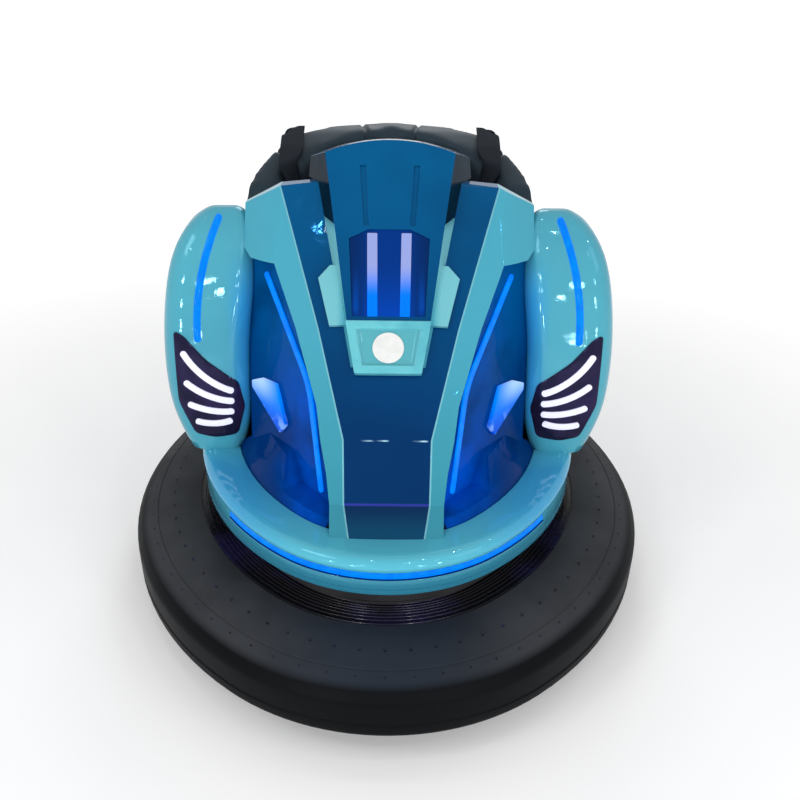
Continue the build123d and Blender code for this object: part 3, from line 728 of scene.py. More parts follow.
def cut(mesh, spot, aim, geom=None, **keep):
    """Cut the mesh, or some of it, along a plane."""
    if geom is None:
        geom = mesh.verts[:] + mesh.edges[:] + mesh.faces[:]
    return bmesh.ops.bisect_plane(mesh, geom=geom, plane_co=spot, plane_no=aim, **keep)


def cut_off(mesh, spot, aim):
    """Take away what lies beyond a plane, and close the cut."""
    made = cut(mesh, spot, aim, clear_outer=True)
    bmesh.ops.holes_fill(mesh, edges=edges_of(made["geom_cut"]), sides=0)


def slice_up(mesh, axis, low, high, step, only=None):
    """Cut the faces, or only some kind, along evenly spaced planes."""
    aim = Vector((0, 0, 0))
    aim[axis] = 1
    for count in range(1, math.ceil((high - low) / step)):
        geom = None
        if only:
            faces = [face for face in mesh.faces if only(face)]
            geom = faces + list(dict.fromkeys(edge for face in faces for edge in face.edges))
        cut(mesh, aim * (low + count * step), aim, geom)


def joined(*meshes):
    """One mesh of several, which are freed."""
    whole = bmesh.new()
    for mesh in meshes:
        data = bpy.data.meshes.new("part")
        mesh.to_mesh(data)
        mesh.free()
        whole.from_mesh(data)
        bpy.data.meshes.remove(data)
    return whole


def painted(mesh, index_of):
    """Give each face the material whose index a function of the face gives."""
    for face in mesh.faces:
        face.material_index = index_of(face)
    return mesh


def moved(mesh, matrix):
    bmesh.ops.transform(mesh, matrix=matrix, verts=mesh.verts)
    return mesh


def mirrored(mesh):
    """Mirror image on the car's other side."""
    twin = mesh.copy()
    bmesh.ops.scale(twin, vec=(-1, 1, 1), verts=twin.verts)
    bmesh.ops.reverse_faces(twin, faces=twin.faces)
    return twin


def shade_smooth(mesh, sharp=SHARP):
    for face in mesh.faces:
        face.smooth = True
    for edge in mesh.edges:
        edge.smooth = edge.calc_face_angle(0) < sharp


def face_front(mesh):
    """Turn every face of a flat mesh to the nose."""
    bmesh.ops.recalc_face_normals(mesh, faces=mesh.faces)
    backward = [face for face in mesh.faces if face.normal.y > 0]
    bmesh.ops.reverse_faces(mesh, faces=backward)


def relax(mesh, rounds):
    for count in range(rounds):
        bmesh.ops.smooth_vert(
            mesh, verts=mesh.verts, factor=0.5,
            use_axis_x=True, use_axis_y=True, use_axis_z=True)


def cad_copy(node):
    """The node's mesh with its doubles merged and its flat faces whole."""
    mesh = bmesh.new()
    mesh.from_mesh(NODES[node].data)
    bmesh.ops.remove_doubles(mesh, verts=mesh.verts, dist=DOUBLES)
    bmesh.ops.dissolve_limit(
        mesh, angle_limit=math.radians(0.6), verts=mesh.verts, edges=mesh.edges)
    return painted(mesh, lambda face: 0)


# Pieces and their modifiers

def body_of(node):
    for body, nodes in frame["record"]["behaviour"]["bodies"].items():
        if node in nodes:
            return body
    raise ValueError(f"no body has the node {node}")


def in_scene(name, data):
    made = bpy.data.objects.new(name, data)
    bpy.context.scene.collection.objects.link(made)
    return made


def place(mesh, name, node, *finishes, stands_for=True):
    """Make the mesh a piece of the car that goes with a node and, as a rule, stands for it."""
    data = bpy.data.meshes.new(name)
    mesh.to_mesh(data)
    mesh.free()
    piece = in_scene(name, data)
    for finish in finishes:
        data.materials.append(bpy.data.materials[finish])
    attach(piece, body_of(node))
    if stands_for:
        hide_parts(node)
    return piece


@contextmanager
def edited(piece):
    """The piece's mesh, to be changed."""
    mesh = bmesh.new()
    mesh.from_mesh(piece.data)
    yield mesh
    mesh.to_mesh(piece.data)
    mesh.free()


def modify(piece, name, kind, **settings):
    made = piece.modifiers.new(name, kind)
    for key, value in settings.items():
        setattr(made, key, value)


def applied(piece):
    """Replace the piece's mesh by its evaluated one, and drop the modifiers."""
    graph = bpy.context.evaluated_depsgraph_get()
    graph.update()
    data = bpy.data.meshes.new_from_object(piece.evaluated_get(graph), depsgraph=graph)
    piece.modifiers.clear()
    piece.data = data
    return piece


def all_smooth(piece):
    for face in piece.data.polygons:
        face.use_smooth = True


def soften(piece, width, segments=3):
    """Round the piece's sharp edges."""
    all_smooth(piece)
    modify(
        piece, "edges", "BEVEL", width=width, segments=segments,
        limit_method="ANGLE", angle_limit=math.radians(24))
    modify(piece, "shading", "WEIGHTED_NORMAL", keep_sharp=True)


def soften_nodes(*rows):
    """Paint and soften CAD copies: rows of node, piece, finish and edge width."""
    for node, name, finish, edge in rows:
        soften(place(cad_copy(node), name, node, finish), edge)


def subdivide(piece, levels):
    modify(piece, "smooth", "SUBSURF", levels=levels, render_levels=levels)


def drape(piece, target, lift, thickness):
    """Lay a flat piece that floats in front of a form onto it, along Y."""
    modify(
        piece, "lay", "SHRINKWRAP", target=target, wrap_method="PROJECT", use_project_y=True,
        use_positive_direction=True, use_negative_direction=False, offset=lift)
    modify(piece, "body", "SOLIDIFY", thickness=thickness, offset=-1)
    modify(
        piece, "rim", "BEVEL", width=0.0012, segments=2,
        limit_method="ANGLE", angle_limit=math.radians(50))


def arc_band(start, middle, end, width, y, steps=14):
    """Flat band along the arc through three spots (x, z), with round ends."""
    first, second, third = (Vector((x, 0, z)) for x, z in (start, middle, end))
    one = second - first
    two = third - first
    cross = one.cross(two)
    across = two.length_squared * cross.cross(one) + one.length_squared * two.cross(cross)
    centre = first + across / (2 * cross.length_squared)
    reach = first - centre
    turn = reach.angle(third - centre)
    if reach.angle(second - centre) > turn:
        turn = 2 * math.pi - turn
    mesh = bmesh.new()
    lift = Vector((0, y, 0))
    sides = []
    for part in (-1, 1):
        spot = centre + lift + reach.normalized() * (reach.length + part * width / 2)
        sides.append(mesh.verts.new(spot))
    edge = mesh.edges.new(sides)
    bmesh.ops.spin(
        mesh, geom=[edge, *sides], cent=centre, axis=cross.normalized(), angle=turn, steps=steps)
    ends = [vert for vert in mesh.verts if len(vert.link_faces) == 1]
    bevel(mesh, ends, width * 0.46, 5, "VERTICES")
    face_front(mesh)
    return mesh


def studs(spots, radius, height, corners=10):
    """Small raised heads; each spot is a place and the way that it faces."""
    whole = bmesh.new()
    for spot, aim in spots:
        turn = aim.to_track_quat("Z", "Y").to_matrix().to_4x4()
        made = bmesh.ops.create_cone(
            whole, cap_ends=True, segments=corners, radius1=radius, radius2=radius * 0.82,
            depth=height, matrix=Matrix.Translation(spot + aim * height * 0.3) @ turn)
        faces = {face for vert in made["verts"] for face in vert.link_faces}
        caps = [face for face in faces if face.normal.dot(aim) > 0.9]
        bmesh.ops.inset_region(
            whole, faces=caps, thickness=radius * 0.3, depth=-height * 0.2)
    return whole


# The bumper ring, the tub and its lamp

RING_CROWN = 0.100
BEAD_DROP = 0.006
BEAD_START = -0.146
BEAD_GROOVES = (0.152, 0.163, 0.173, 0.182, 0.190, 0.197, 0.204, 0.212)
VENT_ROWS = (
    # out from the wall, above the underside
    (-0.040, 0.127),
    (-0.089, 0.1463),
)
VENT_SPACING = 0.060
VENT_TILT = math.atan2(0.032, 0.080)
VENT_RADIUS = 0.0026
VENT_HEIGHT = 0.0016


class BuildRing(bpy.types.Operator):
    """Build the rubber bumper ring with its bead lines and vent pips"""
    bl_idname = "bumper_car.build_ring"
    bl_label = "Build the bumper ring"

    def execute(self, context):
        size = context.scene.car_ring
        shape = oval(size.half_width, size.half_length, size.end_radius)
        mesh = carried(shape, self.profile(size))
        painted(mesh, lambda face: int(out_from(shape, face.calc_center_median()) < BEAD_START))
        shade_smooth(mesh, math.radians(28))
        place(mesh, "ring", "bumper_tyre", "ring_skin", "ring_bead")
        self.add_vents(shape, size)
        return {"FINISHED"}

    def profile(self, size):
        low = size.low
        rows = [
            # out from the wall, height, rounding
            (-size.width, low + 0.016, 0.004),
            (-0.032, low, 0.014),
            (0, low + 0.016, 0.010),
            (0, low + 0.040, 0),
            (-0.0015, low + 0.042, 0),
            (-0.0015, low + 0.050, 0),
            (0, low + 0.052, 0),
            (0, low + 0.097, 0.008),
            (-0.015, low + 0.118, 0.006),
            (-0.050, low + 0.1315, 0),
            (-0.051, low + 0.1305, 0),
            (-0.053, low + 0.1313, 0),
            (-0.054, low + 0.1333, 0),
            (-RING_CROWN, size.top, 0.030),
        ]
        for groove in BEAD_GROOVES:
            share = (groove - RING_CROWN) / (size.width - RING_CROWN)
            top = size.top - BEAD_DROP * share
            for along, sunk in ((0, 0), (0.0012, 0.0018), (0.0032, 0.0018), (0.0044, 0)):
                rows.append((-groove - along, top - sunk, 0))
        rows.append((-size.width, size.top - BEAD_DROP, 0.004))
        return rows

    def add_vents(self, shape, size):
        spots = []
        for out, height in VENT_ROWS:
            for spot, aim in stations(shape, VENT_SPACING, out):
                normal = aim * math.sin(VENT_TILT) + UP * math.cos(VENT_TILT)
                spots.append((spot + UP * (size.low + height), normal))
        mesh = studs(spots, VENT_RADIUS, VENT_HEIGHT)
        place(mesh, "ring_vents", "bumper_tyre", "ring_bead", stands_for=False)


FORWARD = Vector((0, -1, 0))
LIP_DECK = 0.211


class BuildTub(bpy.types.Operator):
    """Build the tub's wall, its lamp groove, its rounded lip and the strip lamp"""
    bl_idname = "bumper_car.build_tub"
    bl_label = "Build the tub"

    def execute(self, context):
        size = context.scene.car_tub
        self.shape = oval(size.half_width, size.half_length, size.end_radius)
        self.low = size.low
        self.groove = (size.lip_low - 0.031, size.lip_low - 0.001)
        self.depth = size.groove_depth
        self.end = FORWARD * size.groove_back
        wall = joined(self.wall_front(), self.wall_back(), self.lip(size))
        shade_smooth(wall, math.radians(38))
        place(wall, "tub", "tub_shell", "lip_paint", "groove_paint")
        self.add_lamp()
        return {"FINISHED"}

    def wall(self, grooved):
        low = self.low
        bottom, top = self.groove
        rows = [
            # out from the wall, height, rounding
            (-0.058, low, 0),
            (0, low, 0.004),
            (0, low + 0.013, 0),
            (-0.0016, low + 0.0138, 0),
            (-0.0016, low + 0.016, 0),
            (0, low + 0.0168, 0),
        ]
        if grooved:
            rows += [
                (0, bottom, 0.0015),
                (-self.depth, bottom, 0),
                (-self.depth, top, 0),
                (0, top, 0),
            ]
        rows += [
            (0, top + 0.015, 0),
            (-0.020, top + 0.015, 0),
            (-0.020, low + 0.006, 0),
            (-0.058, low + 0.006, 0),
        ]
        return carried(self.shape, rows)

    def wall_front(self):
        mesh = self.wall(grooved=True)
        cut_off(mesh, self.end, -FORWARD)
        return painted(mesh, self.in_groove)

    def in_groove(self, face):
        spot = face.calc_center_median()
        level = self.groove[0] - 0.001 < spot.z < self.groove[1] + 0.001
        return int(level and out_from(self.shape, spot) < -0.001)

    def wall_back(self):
        mesh = self.wall(grooved=False)
        cut_off(mesh, self.end, FORWARD)
        return mesh

    def lip(self, size):
        shape = oval(size.half_width + 0.003, size.half_length + size.lip_out, size.end_radius)
        inner = -size.lip_width - 0.006
        return carried(shape, [
            # out from the wall, height, rounding
            (-0.050, size.lip_low, 0),
            (-0.006, size.lip_low + 0.002, 0.005),
            (0, size.lip_low + 0.014, 0.007),
            (-0.008, size.lip_top - 0.004, 0.008),
            (-0.024, size.lip_top, 0.008),
            (inner, size.lip_top - 0.005, 0.004),
            (inner, LIP_DECK, 0),
            (-size.lip_width, LIP_DECK, 0),
            (-size.lip_width, size.lip_top - 0.022, 0),
            (-0.050, size.lip_top - 0.022, 0),
        ])

    def add_lamp(self):
        low = self.groove[0]
        high = low + 0.015
        back = -self.depth + 0.0003
        mesh = carried(self.shape, [
            (back, low, 0), (-0.003, low, 0.003), (-0.003, high, 0.004), (back, high, 0)])
        cut_off(mesh, self.end + FORWARD * 0.002, -FORWARD)
        shade_smooth(mesh)
        place(mesh, "nose_lamp", "front_led_strip", "strip_lamp")


# Hood, pod and scoops

HOOD_LEAN = math.atan(1.2)
HOOD_NORMAL = Vector((0, -math.sin(HOOD_LEAN), math.cos(HOOD_LEAN)))
HOOD_UP = Vector((0, math.cos(HOOD_LEAN), math.sin(HOOD_LEAN)))
HOOD_CREASE = Vector((0, -0.360, 0.500))
WING_START = 0.224
WING_CUTS = (WING_START, 0.243, 0.262, 0.281)
WING_REACH = 0.076
WING_BEND = 0.052
WING_BACK = -0.006
TIP_START = 0.283
TIP_RUN = 0.05
TIP_TURN = math.radians(20)
TIP_TOP = 0.80
RECESS_FLOOR = (0.0155, 0.0165)
RECESS_TOP = 0.0215
RECESS_FOOT = 0.605
RECESS_SHARE = 0.85
DISC_DROP = 0.005
DISC_SHRINK = 0.06
# height above which the pod's flanks take painted shade
POD_DARK = 0.855
EAR_START = 0.070
EAR_RISE = 0.0125
EAR_TOP = 0.80
FLANK_START = 0.082
FLANK_TURN = 0.6
FLOOR_X = (-0.34, 0.34)
FLOOR_Y = (-0.46, -0.02)
FLOOR_RISE = 0.25
FLOOR_TOP = 0.45
FLOOR_CELL = 0.013
FLOOR_BLEND = 0.035
MEAN_STEP = 0.009
MEAN_SPREAD = 0.018


def above_hood(spot):
    """Height over the hood's main plane."""
    return (spot - HOOD_CREASE).dot(HOOD_NORMAL)


def is_floor(face):
    """Whether a face of the scoops belongs to their floor."""
    return face.normal.z > FLOOR_RISE and face.calc_center_median().z < FLOOR_TOP


class BuildHood(bpy.types.Operator):
    """Finish the hood, the pod with its grille, the plaque and the scoops"""
    bl_idname = "bumper_car.build_hood"
    bl_label = "Build the hood"

    def execute(self, context):
        soften(place(self.hood(), "hood", "hood_shell", "hood_paint"), 0.0035)
        pod = place(self.pod(), "pod", "pod_cowl", "blue_paint", "flank_paint", "pod_shadow")
        soften(pod, 0.0022)
        soften_nodes(
            ("grille_panel", "grille_back", "grille_glow", 0.001),
            ("grille_bars", "grille_bars_lit", "bar_lamp", 0.0018),
            ("headlamps", "kite_lamps", "kite_lamp", 0.0030),
            ("hood_leds", "scoop_strips", "strip_lamp", 0.0020),
        )
        plaque = place(self.plaque(), "plaque", "number_plaque", "plaque_paint", "recess_paint")
        soften(plaque, 0.0050, segments=4)
        soften(place(self.disc(), "disc", "plaque_disc", "disc_white"), 0.0012)
        soften(place(self.scoops(), "scoops", "front_deck", "scoop_paint"), 0.0022)
        return {"FINISHED"}

    def hood(self):
        """Hood whose wings bend back into the fenders."""
        mesh = cad_copy("hood_shell")
        for x in WING_CUTS:
            for side in (-1, 1):
                cut(mesh, (x * side, 0, 0), (1, 0, 0))
        for vert in mesh.verts:
            room = WING_BACK - vert.co.y
            if room > 0.014:
                bend = WING_BEND * (max(0, abs(vert.co.x) - WING_START) / WING_REACH) ** 1.4
                vert.co.y += min(bend, 0.9 * room)
        bevel(mesh, [edge for edge in mesh.edges if self.is_tip(edge)], 0.010, segments=4)
        return mesh

    def is_tip(self, edge):
        """Whether an edge is one of the wings' upright ends."""
        first, last = (vert.co for vert in edge.verts)
        return (
            min(abs(first.x), abs(last.x)) > TIP_START
            and abs(first.y - last.y) > TIP_RUN
            and edge.calc_face_angle(0) > TIP_TURN
            and (first + last).z / 2 < TIP_TOP
        )

    def scoops(self):
        """Scoops whose floor runs in soft waves."""
        mesh = cad_copy("front_deck")
        slice_up(mesh, 0, *FLOOR_X, FLOOR_CELL, is_floor)
        slice_up(mesh, 1, *FLOOR_Y, FLOOR_CELL, is_floor)
        inner = [vert for vert in mesh.verts if all(is_floor(face) for face in vert.link_faces)]
        floor = {vert for face in mesh.faces if is_floor(face) for vert in face.verts}
        rim = floor - set(inner)
        tree = BVHTree.FromBMesh(mesh)
        heights = [self.mean_height(tree, vert.co) for vert in inner]
        for vert, height in zip(inner, heights):
            near = min((vert.co.xy - other.co.xy).length for other in rim)
            share = min(1, near / FLOOR_BLEND)
            vert.co.z += share * share * (3 - 2 * share) * (height - vert.co.z)
        return mesh

    def mean_height(self, tree, spot):
        """Height of the floor round a spot, weighted by nearness."""
        total = weight = 0
        for row in range(-4, 5):
            for column in range(-4, 5):
                shift = Vector((MEAN_STEP * row, MEAN_STEP * column, 0))
                start = Vector((spot.x, spot.y, 1)) + shift
                hit, normal, index, distance = tree.ray_cast(start, -UP)
                if hit and normal.z > FLOOR_RISE and hit.z < FLOOR_TOP:
                    share = math.exp(-shift.length_squared / (2 * MEAN_SPREAD ** 2))
                    total += share * hit.z
                    weight += share
        return total / weight if weight else spot.z

    def plaque(self):
        """Frame with sloping sides round its recess, which is darker with painted shade."""
        mesh = cad_copy("number_plaque")
        low, high = RECESS_FLOOR
        for vert in mesh.verts:
            if low < above_hood(vert.co) < high and vert.co.z > RECESS_FOOT:
                vert.co.x *= RECESS_SHARE
        mesh.normal_update()

        # recess faces take the darker recess finish, a painted shade
        def in_recess(face):
            level = low < above_hood(face.calc_center_median()) < RECESS_TOP
            return int(level and face.normal.dot(HOOD_NORMAL) > 0.2)
        return painted(mesh, in_recess)

    def disc(self):
        """Blank disc, low in the recess."""
        mesh = cad_copy("plaque_disc")
        middle = sum((vert.co for vert in mesh.verts), Vector()) / len(mesh.verts)
        for vert in mesh.verts:
            flat = vert.co - middle
            flat -= HOOD_NORMAL * flat.dot(HOOD_NORMAL)
            vert.co -= flat * DISC_SHRINK + HOOD_UP * DISC_DROP
        return mesh

    def pod(self):
        """Blue cowl; its flanks and the two ears at its foot are pale, and the flanks above
        POD_DARK take painted shade.
        """
        mesh = cad_copy("pod_cowl")
        cut(mesh, (0, 0, POD_DARK), UP)

        def finish(face):
            spot = face.calc_center_median()
            out = abs(spot.x)
            ear = out > EAR_START and above_hood(spot) < EAR_RISE and spot.z < EAR_TOP
            flank = abs(face.normal.x) > FLANK_TURN and out > FLANK_START
            if not (ear or flank):
                return 0
            return 2 if spot.z > POD_DARK else 1
        return painted(mesh, finish)


# Fenders and their lamps

FENDER = (
    # height, inner x, outer x, front y, back y, corner
    (0.346, 0.322, 0.446, -0.146, 0.116, 0.038),
    (0.424, 0.297, 0.478, -0.150, 0.118, 0.048),
    (0.500, 0.300, 0.487, -0.147, 0.118, 0.052),
    (0.600, 0.300, 0.486, -0.136, 0.108, 0.052),
    (0.700, 0.282, 0.474, -0.116, 0.086, 0.048),
    (0.780, 0.284, 0.455, -0.086, 0.060, 0.040),
    (0.835, 0.292, 0.416, -0.047, 0.032, 0.030),
    (0.856, 0.312, 0.378, -0.016, 0.014, 0.016),
)
FENDER_LOW = FENDER[0][0]
FENDER_TOP = FENDER[-1][0]
WING_LAMP = (
    (0.452, 0.626), (0.432, 0.618), (0.388, 0.566), (0.322, 0.514), (0.312, 0.452),
    (0.330, 0.388), (0.382, 0.380), (0.424, 0.390), (0.454, 0.468),
)
WING_BARS = (
    # outer end, middle and inner end (x, z)
    ((0.436, 0.584), (0.396, 0.532), (0.332, 0.494)),
    ((0.436, 0.517), (0.388, 0.485), (0.332, 0.471)),
    ((0.433, 0.465), (0.384, 0.449), (0.334, 0.447)),
    ((0.420, 0.423), (0.378, 0.417), (0.340, 0.425)),
)
WING_BAR_WIDTH = 0.014
FENDER_STRIP = ((0.351, 0.8475), (0.389, 0.729), (0.401, 0.604))
STRIP_WIDTH = 0.015
BEFORE = -0.30


class BuildFenders(bpy.types.Operator):
    """Build both fenders with their wing lamps and strips"""
    bl_idname = "bumper_car.build_fenders"
    bl_label = "Build the fenders"

    def execute(self, context):
        fenders = {"right": self.fender(), "left": mirrored(self.fender())}
        for side, mesh in fenders.items():
            fender = place(mesh, f"{side}_fender", f"fender_{side}", "teal_paint")
            subdivide(fender, 2)
            fenders[side] = applied(fender)
        for side, fender in fenders.items():
            lamps = (
                # node, piece, shape, finish, how far it stands out, thickness
                ("wing_lamps", "wing", self.panel(), "wing_black", 0.0022, 0.005),
                ("wing_bars", "feathers", self.feathers(), "wing_bar", 0.0050, 0.004),
                ("fender_leds", "strip", self.strip(), "strip_lamp", 0.0020, 0.004),
            )
            for node, name, mesh, finish, lift, thickness in lamps:
                flat = mirrored(mesh) if side == "left" else mesh
                face_front(flat)
                shade_smooth(flat, math.radians(60))
                drape(place(flat, f"{side}_{name}", node, finish), fender, lift, thickness)
        return {"FINISHED"}

    def fender(self):
        """Right fender, bridged from rounded outlines."""
        levels = []
        for z, inner, outer, front, back, corner in FENDER:
            corners = ((inner, front, z), (outer, front, z), (outer, back, z), (inner, back, z))
            levels.append(outline(corners, [corner] * 4, segments=4))
        mesh = joined(*levels)
        between = [
            face for face in mesh.faces
            if FENDER_LOW + 0.001 < face.calc_center_median().z < FENDER_TOP - 0.001
        ]
        bmesh.ops.delete(mesh, geom=between, context="FACES_ONLY")
        loops = [
            [edge for edge in mesh.edges if abs(edge.verts[0].co.z - row[0]) < TINY]
            for row in FENDER
        ]
        for lower, upper in zip(loops, loops[1:]):
            bmesh.ops.bridge_loops(mesh, edges=lower + upper)
        top = [face for face in mesh.faces if face.calc_center_median().z > FENDER_TOP - TINY]
        bmesh.ops.inset_region(mesh, faces=top, thickness=0.012)
        crease = mesh.edges.layers.float.new("crease_edge")
        for edge in mesh.edges:
            if max(vert.co.z for vert in edge.verts) < FENDER_LOW + TINY:
                edge[crease] = 1
        close(mesh)
        shade_smooth(mesh, math.radians(80))
        return mesh

    def panel(self):
        mesh = outline([(x, BEFORE, z) for x, z in WING_LAMP], [0.009] * len(WING_LAMP), 4)
        slice_up(mesh, 0, 0.30, 0.46, 0.010)
        slice_up(mesh, 2, 0.37, 0.63, 0.010)
        return mesh

    def feathers(self):
        return joined(*(arc_band(*spots, WING_BAR_WIDTH, BEFORE) for spots in WING_BARS))

    def strip(self):
        return arc_band(*FENDER_STRIP, STRIP_WIDTH, BEFORE)


# Rear body, seat and cockpit

class BuildRear(bpy.types.Operator):
    """Finish the rear body, its lamps, its socket, the seat's box and the dashboard"""
    bl_idname = "bumper_car.build_rear"
    bl_label = "Build the rear"

    def execute(self, context):
        soften_nodes(
            ("rear_body", "tail_panel", "teal_paint", 0.0022),
            ("tail_lamps", "tail_lenses", "tail_lens", 0.0025),
            ("charging_socket", "socket", "black_moulding", 0.0015),
            ("seat_base", "seat_box", "black_moulding", 0.0025),
            ("dashboard", "dash", "black_moulding", 0.0025),
            ("pedal", "foot_pedal", "black_moulding", 0.0015),
            ("steering_column", "column", "black_moulding", 0.0020),
        )
        return {"FINISHED"}


SEAT_Y = 0.100
SEAT_R = 0.350
BOLSTER = 0.072
BASE_TOP = 0.346
WALL_TOP = 0.665
CUSHION_TOP = 0.40
BACK_SEAMS = (-52, -12, 12, 52)
CUSHION_SEAMS = (-0.17, -0.085, 0, 0.085, 0.17)
CLOTH_FRAMES = 20
STRAP_X = 0.233
STRAP_WIDTH = 0.058
STRAP_LIFT = 0.0065
STRAP_ROUTE = (
    # behind the seat's middle, height
    (0.128, 0.455), (0.134, 0.560), (0.138, 0.700), (0.142, 0.820), (0.160, 0.925),
    (0.205, 0.965), (0.255, 0.960), (0.290, 0.900), (0.300, 0.780), (0.300, 0.700),
)


class BuildSeat(bpy.types.Operator):
    """Stuff the seat's cushion and its back, sew their seams and lay the harness over them"""
    bl_idname = "bumper_car.build_seat"
    bl_label = "Build the seat"

    def execute(self, context):
        back = self.stuff("seat_back", "back_pad", shrink=0.003)
        self.keep_clear(back, low=0, radius=SEAT_R - 0.0005, below=WALL_TOP)
        seat = self.stuff("seat_cushion", "cushion_pad", shrink=0.006)
        self.keep_clear(seat, low=BASE_TOP, radius=SEAT_R - BOLSTER - 0.002, below=1)
        self.sew(back, self.back_seams, width=0.004)
        self.sew(seat, self.cushion_seams, width=0.007)
        for side, name in ((-1, "strap_left"), (1, "strap_right")):
            self.add_strap(name, side * STRAP_X)
        return {"FINISHED"}

    def stuff(self, node, name, shrink):
        """Padded form blown up inside the node's outline."""
        size = bpy.context.scene.car_seat
        piece = place(cad_copy(node), name, node, "seat_cover")
        modify(piece, "cells", "REMESH", mode="VOXEL", voxel_size=size.voxel)
        applied(piece)
        with edited(piece) as mesh:
            relax(mesh, 4)
            mesh.normal_update()
            for vert in mesh.verts:
                vert.co -= vert.normal * shrink
        self.inflate(piece, size)
        all_smooth(piece)
        subdivide(piece, 1)
        return applied(piece)

    def inflate(self, piece, size):
        """Blow the form up as cloth, cap how far each point moves, and smooth the wrinkles."""
        scene = bpy.context.scene
        start = [vert.co.copy() for vert in piece.data.vertices]
        cloth = piece.modifiers.new("cloth", "CLOTH")
        settings = cloth.settings
        settings.use_pressure = True
        settings.uniform_pressure_force = size.pressure
        settings.tension_stiffness = 20
        settings.compression_stiffness = 20
        settings.bending_stiffness = 5
        settings.quality = 4
        settings.effector_weights.gravity = 0
        cloth.point_cache.frame_start = 1
        cloth.point_cache.frame_end = CLOTH_FRAMES
        for count in range(1, CLOTH_FRAMES + 1):
            scene.frame_set(count)
        applied(piece)
        scene.frame_set(1)
        for vert, home in zip(piece.data.vertices, start):
            way = vert.co - home
            if way.length > size.swell:
                vert.co = home + way.normalized() * size.swell
        with edited(piece) as mesh:
            relax(mesh, 9)

    def keep_clear(self, piece, low, radius, below):
        """Hold a pad above its base and inside the round wall that stands beside it."""
        for vert in piece.data.vertices:
            spot = vert.co
            spot.z = max(spot.z, low)
            reach = math.hypot(spot.x, spot.y - SEAT_Y)
            if spot.z < below and reach > radius:
                spot.x *= radius / reach
                spot.y = SEAT_Y + (spot.y - SEAT_Y) * radius / reach

    def sew(self, piece, distance, width):
        """Draw the cover in where a distance function is near zero."""
        depth = bpy.context.scene.car_seat.seam_depth
        with edited(piece) as mesh:
            mesh.normal_update()
            shift = []
            for vert in mesh.verts:
                near = min(abs(gap) for gap in distance(vert.co))
                shift.append(vert.normal * depth * math.exp(-((near / width) ** 2)))
            for vert, way in zip(mesh.verts, shift):
                vert.co -= way

    def back_seams(self, spot):
        """Distances to the seams up the back and over its roll."""
        turn = math.atan2(spot.x, spot.y - SEAT_Y)
        reach = math.hypot(spot.x, spot.y - SEAT_Y)
        return [(turn - math.radians(angle)) * reach for angle in BACK_SEAMS]

    def cushion_seams(self, spot):
        """Distances to the channels along the cushion's top."""
        return [spot.x - x if spot.z > CUSHION_TOP else 1 for x in CUSHION_SEAMS]

    def add_strap(self, name, middle):
        """Shoulder strap that comes over the back's roll."""
        mesh = bmesh.new()
        left = middle - STRAP_WIDTH / 2
        rail = [mesh.verts.new((left, SEAT_Y + y, z)) for y, z in STRAP_ROUTE]
        edges = [mesh.edges.new(pair) for pair in zip(rail, rail[1:])]
        made = bmesh.ops.extrude_edge_only(mesh, edges=edges)
        other = [part for part in made["geom"] if isinstance(part, bmesh.types.BMVert)]
        bmesh.ops.translate(mesh, verts=other, vec=(STRAP_WIDTH, 0, 0))
        bmesh.ops.subdivide_edges(mesh, edges=mesh.edges, cuts=3, use_grid_fill=True)
        shade_smooth(mesh)
        strap = place(mesh, name, "harness_straps", "strap_weave")
        subdivide(strap, 2)
        modify(
            strap, "lay", "SHRINKWRAP", target=NODES["seat_back"],
            wrap_method="NEAREST_SURFACEPOINT", wrap_mode="OUTSIDE_SURFACE", offset=STRAP_LIFT)
        applied(strap)
        with edited(strap) as mesh:
            relax(mesh, 6)
        modify(strap, "body", "SOLIDIFY", thickness=0.003, offset=0)


# Steering and road wheels

WHEEL_HUB = Vector((0, 0.138, 0.690))
WHEEL_LEAN = math.radians(50)
SPOKE_ANGLES = (0, 90, 180)
SPOKE_SIZE = (0.114, 0.030, 0.009)
SPOKE_MIDDLE = 0.077


class BuildSteering(bpy.types.Operator):
    """Build the steering wheel"""
    bl_idname = "bumper_car.build_steering"
    bl_label = "Build the steering wheel"

    def execute(self, context):
        # sections: radius, height, rounding
        grip = turned(
            [(0.153, 0, 0.010), (0.140, 0.013, 0.010), (0.127, 0, 0.010), (0.140, -0.013, 0.010)],
            steps=64)
        pad = turned([
            (0, 0.016, 0), (0.022, 0.0155, 0.006), (0.034, 0.006, 0.004),
            (0.034, -0.026, 0.003), (0, -0.026, 0)], steps=40)
        shaft = turned(
            [(0, -0.020, 0), (0.010, -0.020, 0), (0.010, -0.120, 0), (0, -0.120, 0)], steps=20)
        spokes = [self.spoke(angle) for angle in SPOKE_ANGLES]
        mesh = joined(painted(grip, lambda face: 1), pad, shaft, *spokes)
        moved(mesh, Matrix.Translation(WHEEL_HUB) @ Matrix.Rotation(-WHEEL_LEAN, 4, "X"))
        shade_smooth(mesh)
        place(mesh, "helm", "steering_wheel", "black_moulding", "seat_cover")
        return {"FINISHED"}

    def spoke(self, angle):
        """Flat spoke that narrows to the rim."""
        mesh = bmesh.new()
        bmesh.ops.create_cube(mesh, size=1)
        bmesh.ops.scale(mesh, vec=SPOKE_SIZE, verts=mesh.verts)
        bmesh.ops.translate(mesh, vec=(SPOKE_MIDDLE, 0, 0), verts=mesh.verts)
        for vert in mesh.verts:
            if vert.co.x > SPOKE_MIDDLE:
                vert.co.y *= 0.72
        bevel(mesh, mesh.edges[:], 0.003)
        return moved(mesh, Matrix.Rotation(math.radians(angle), 4, "Z"))


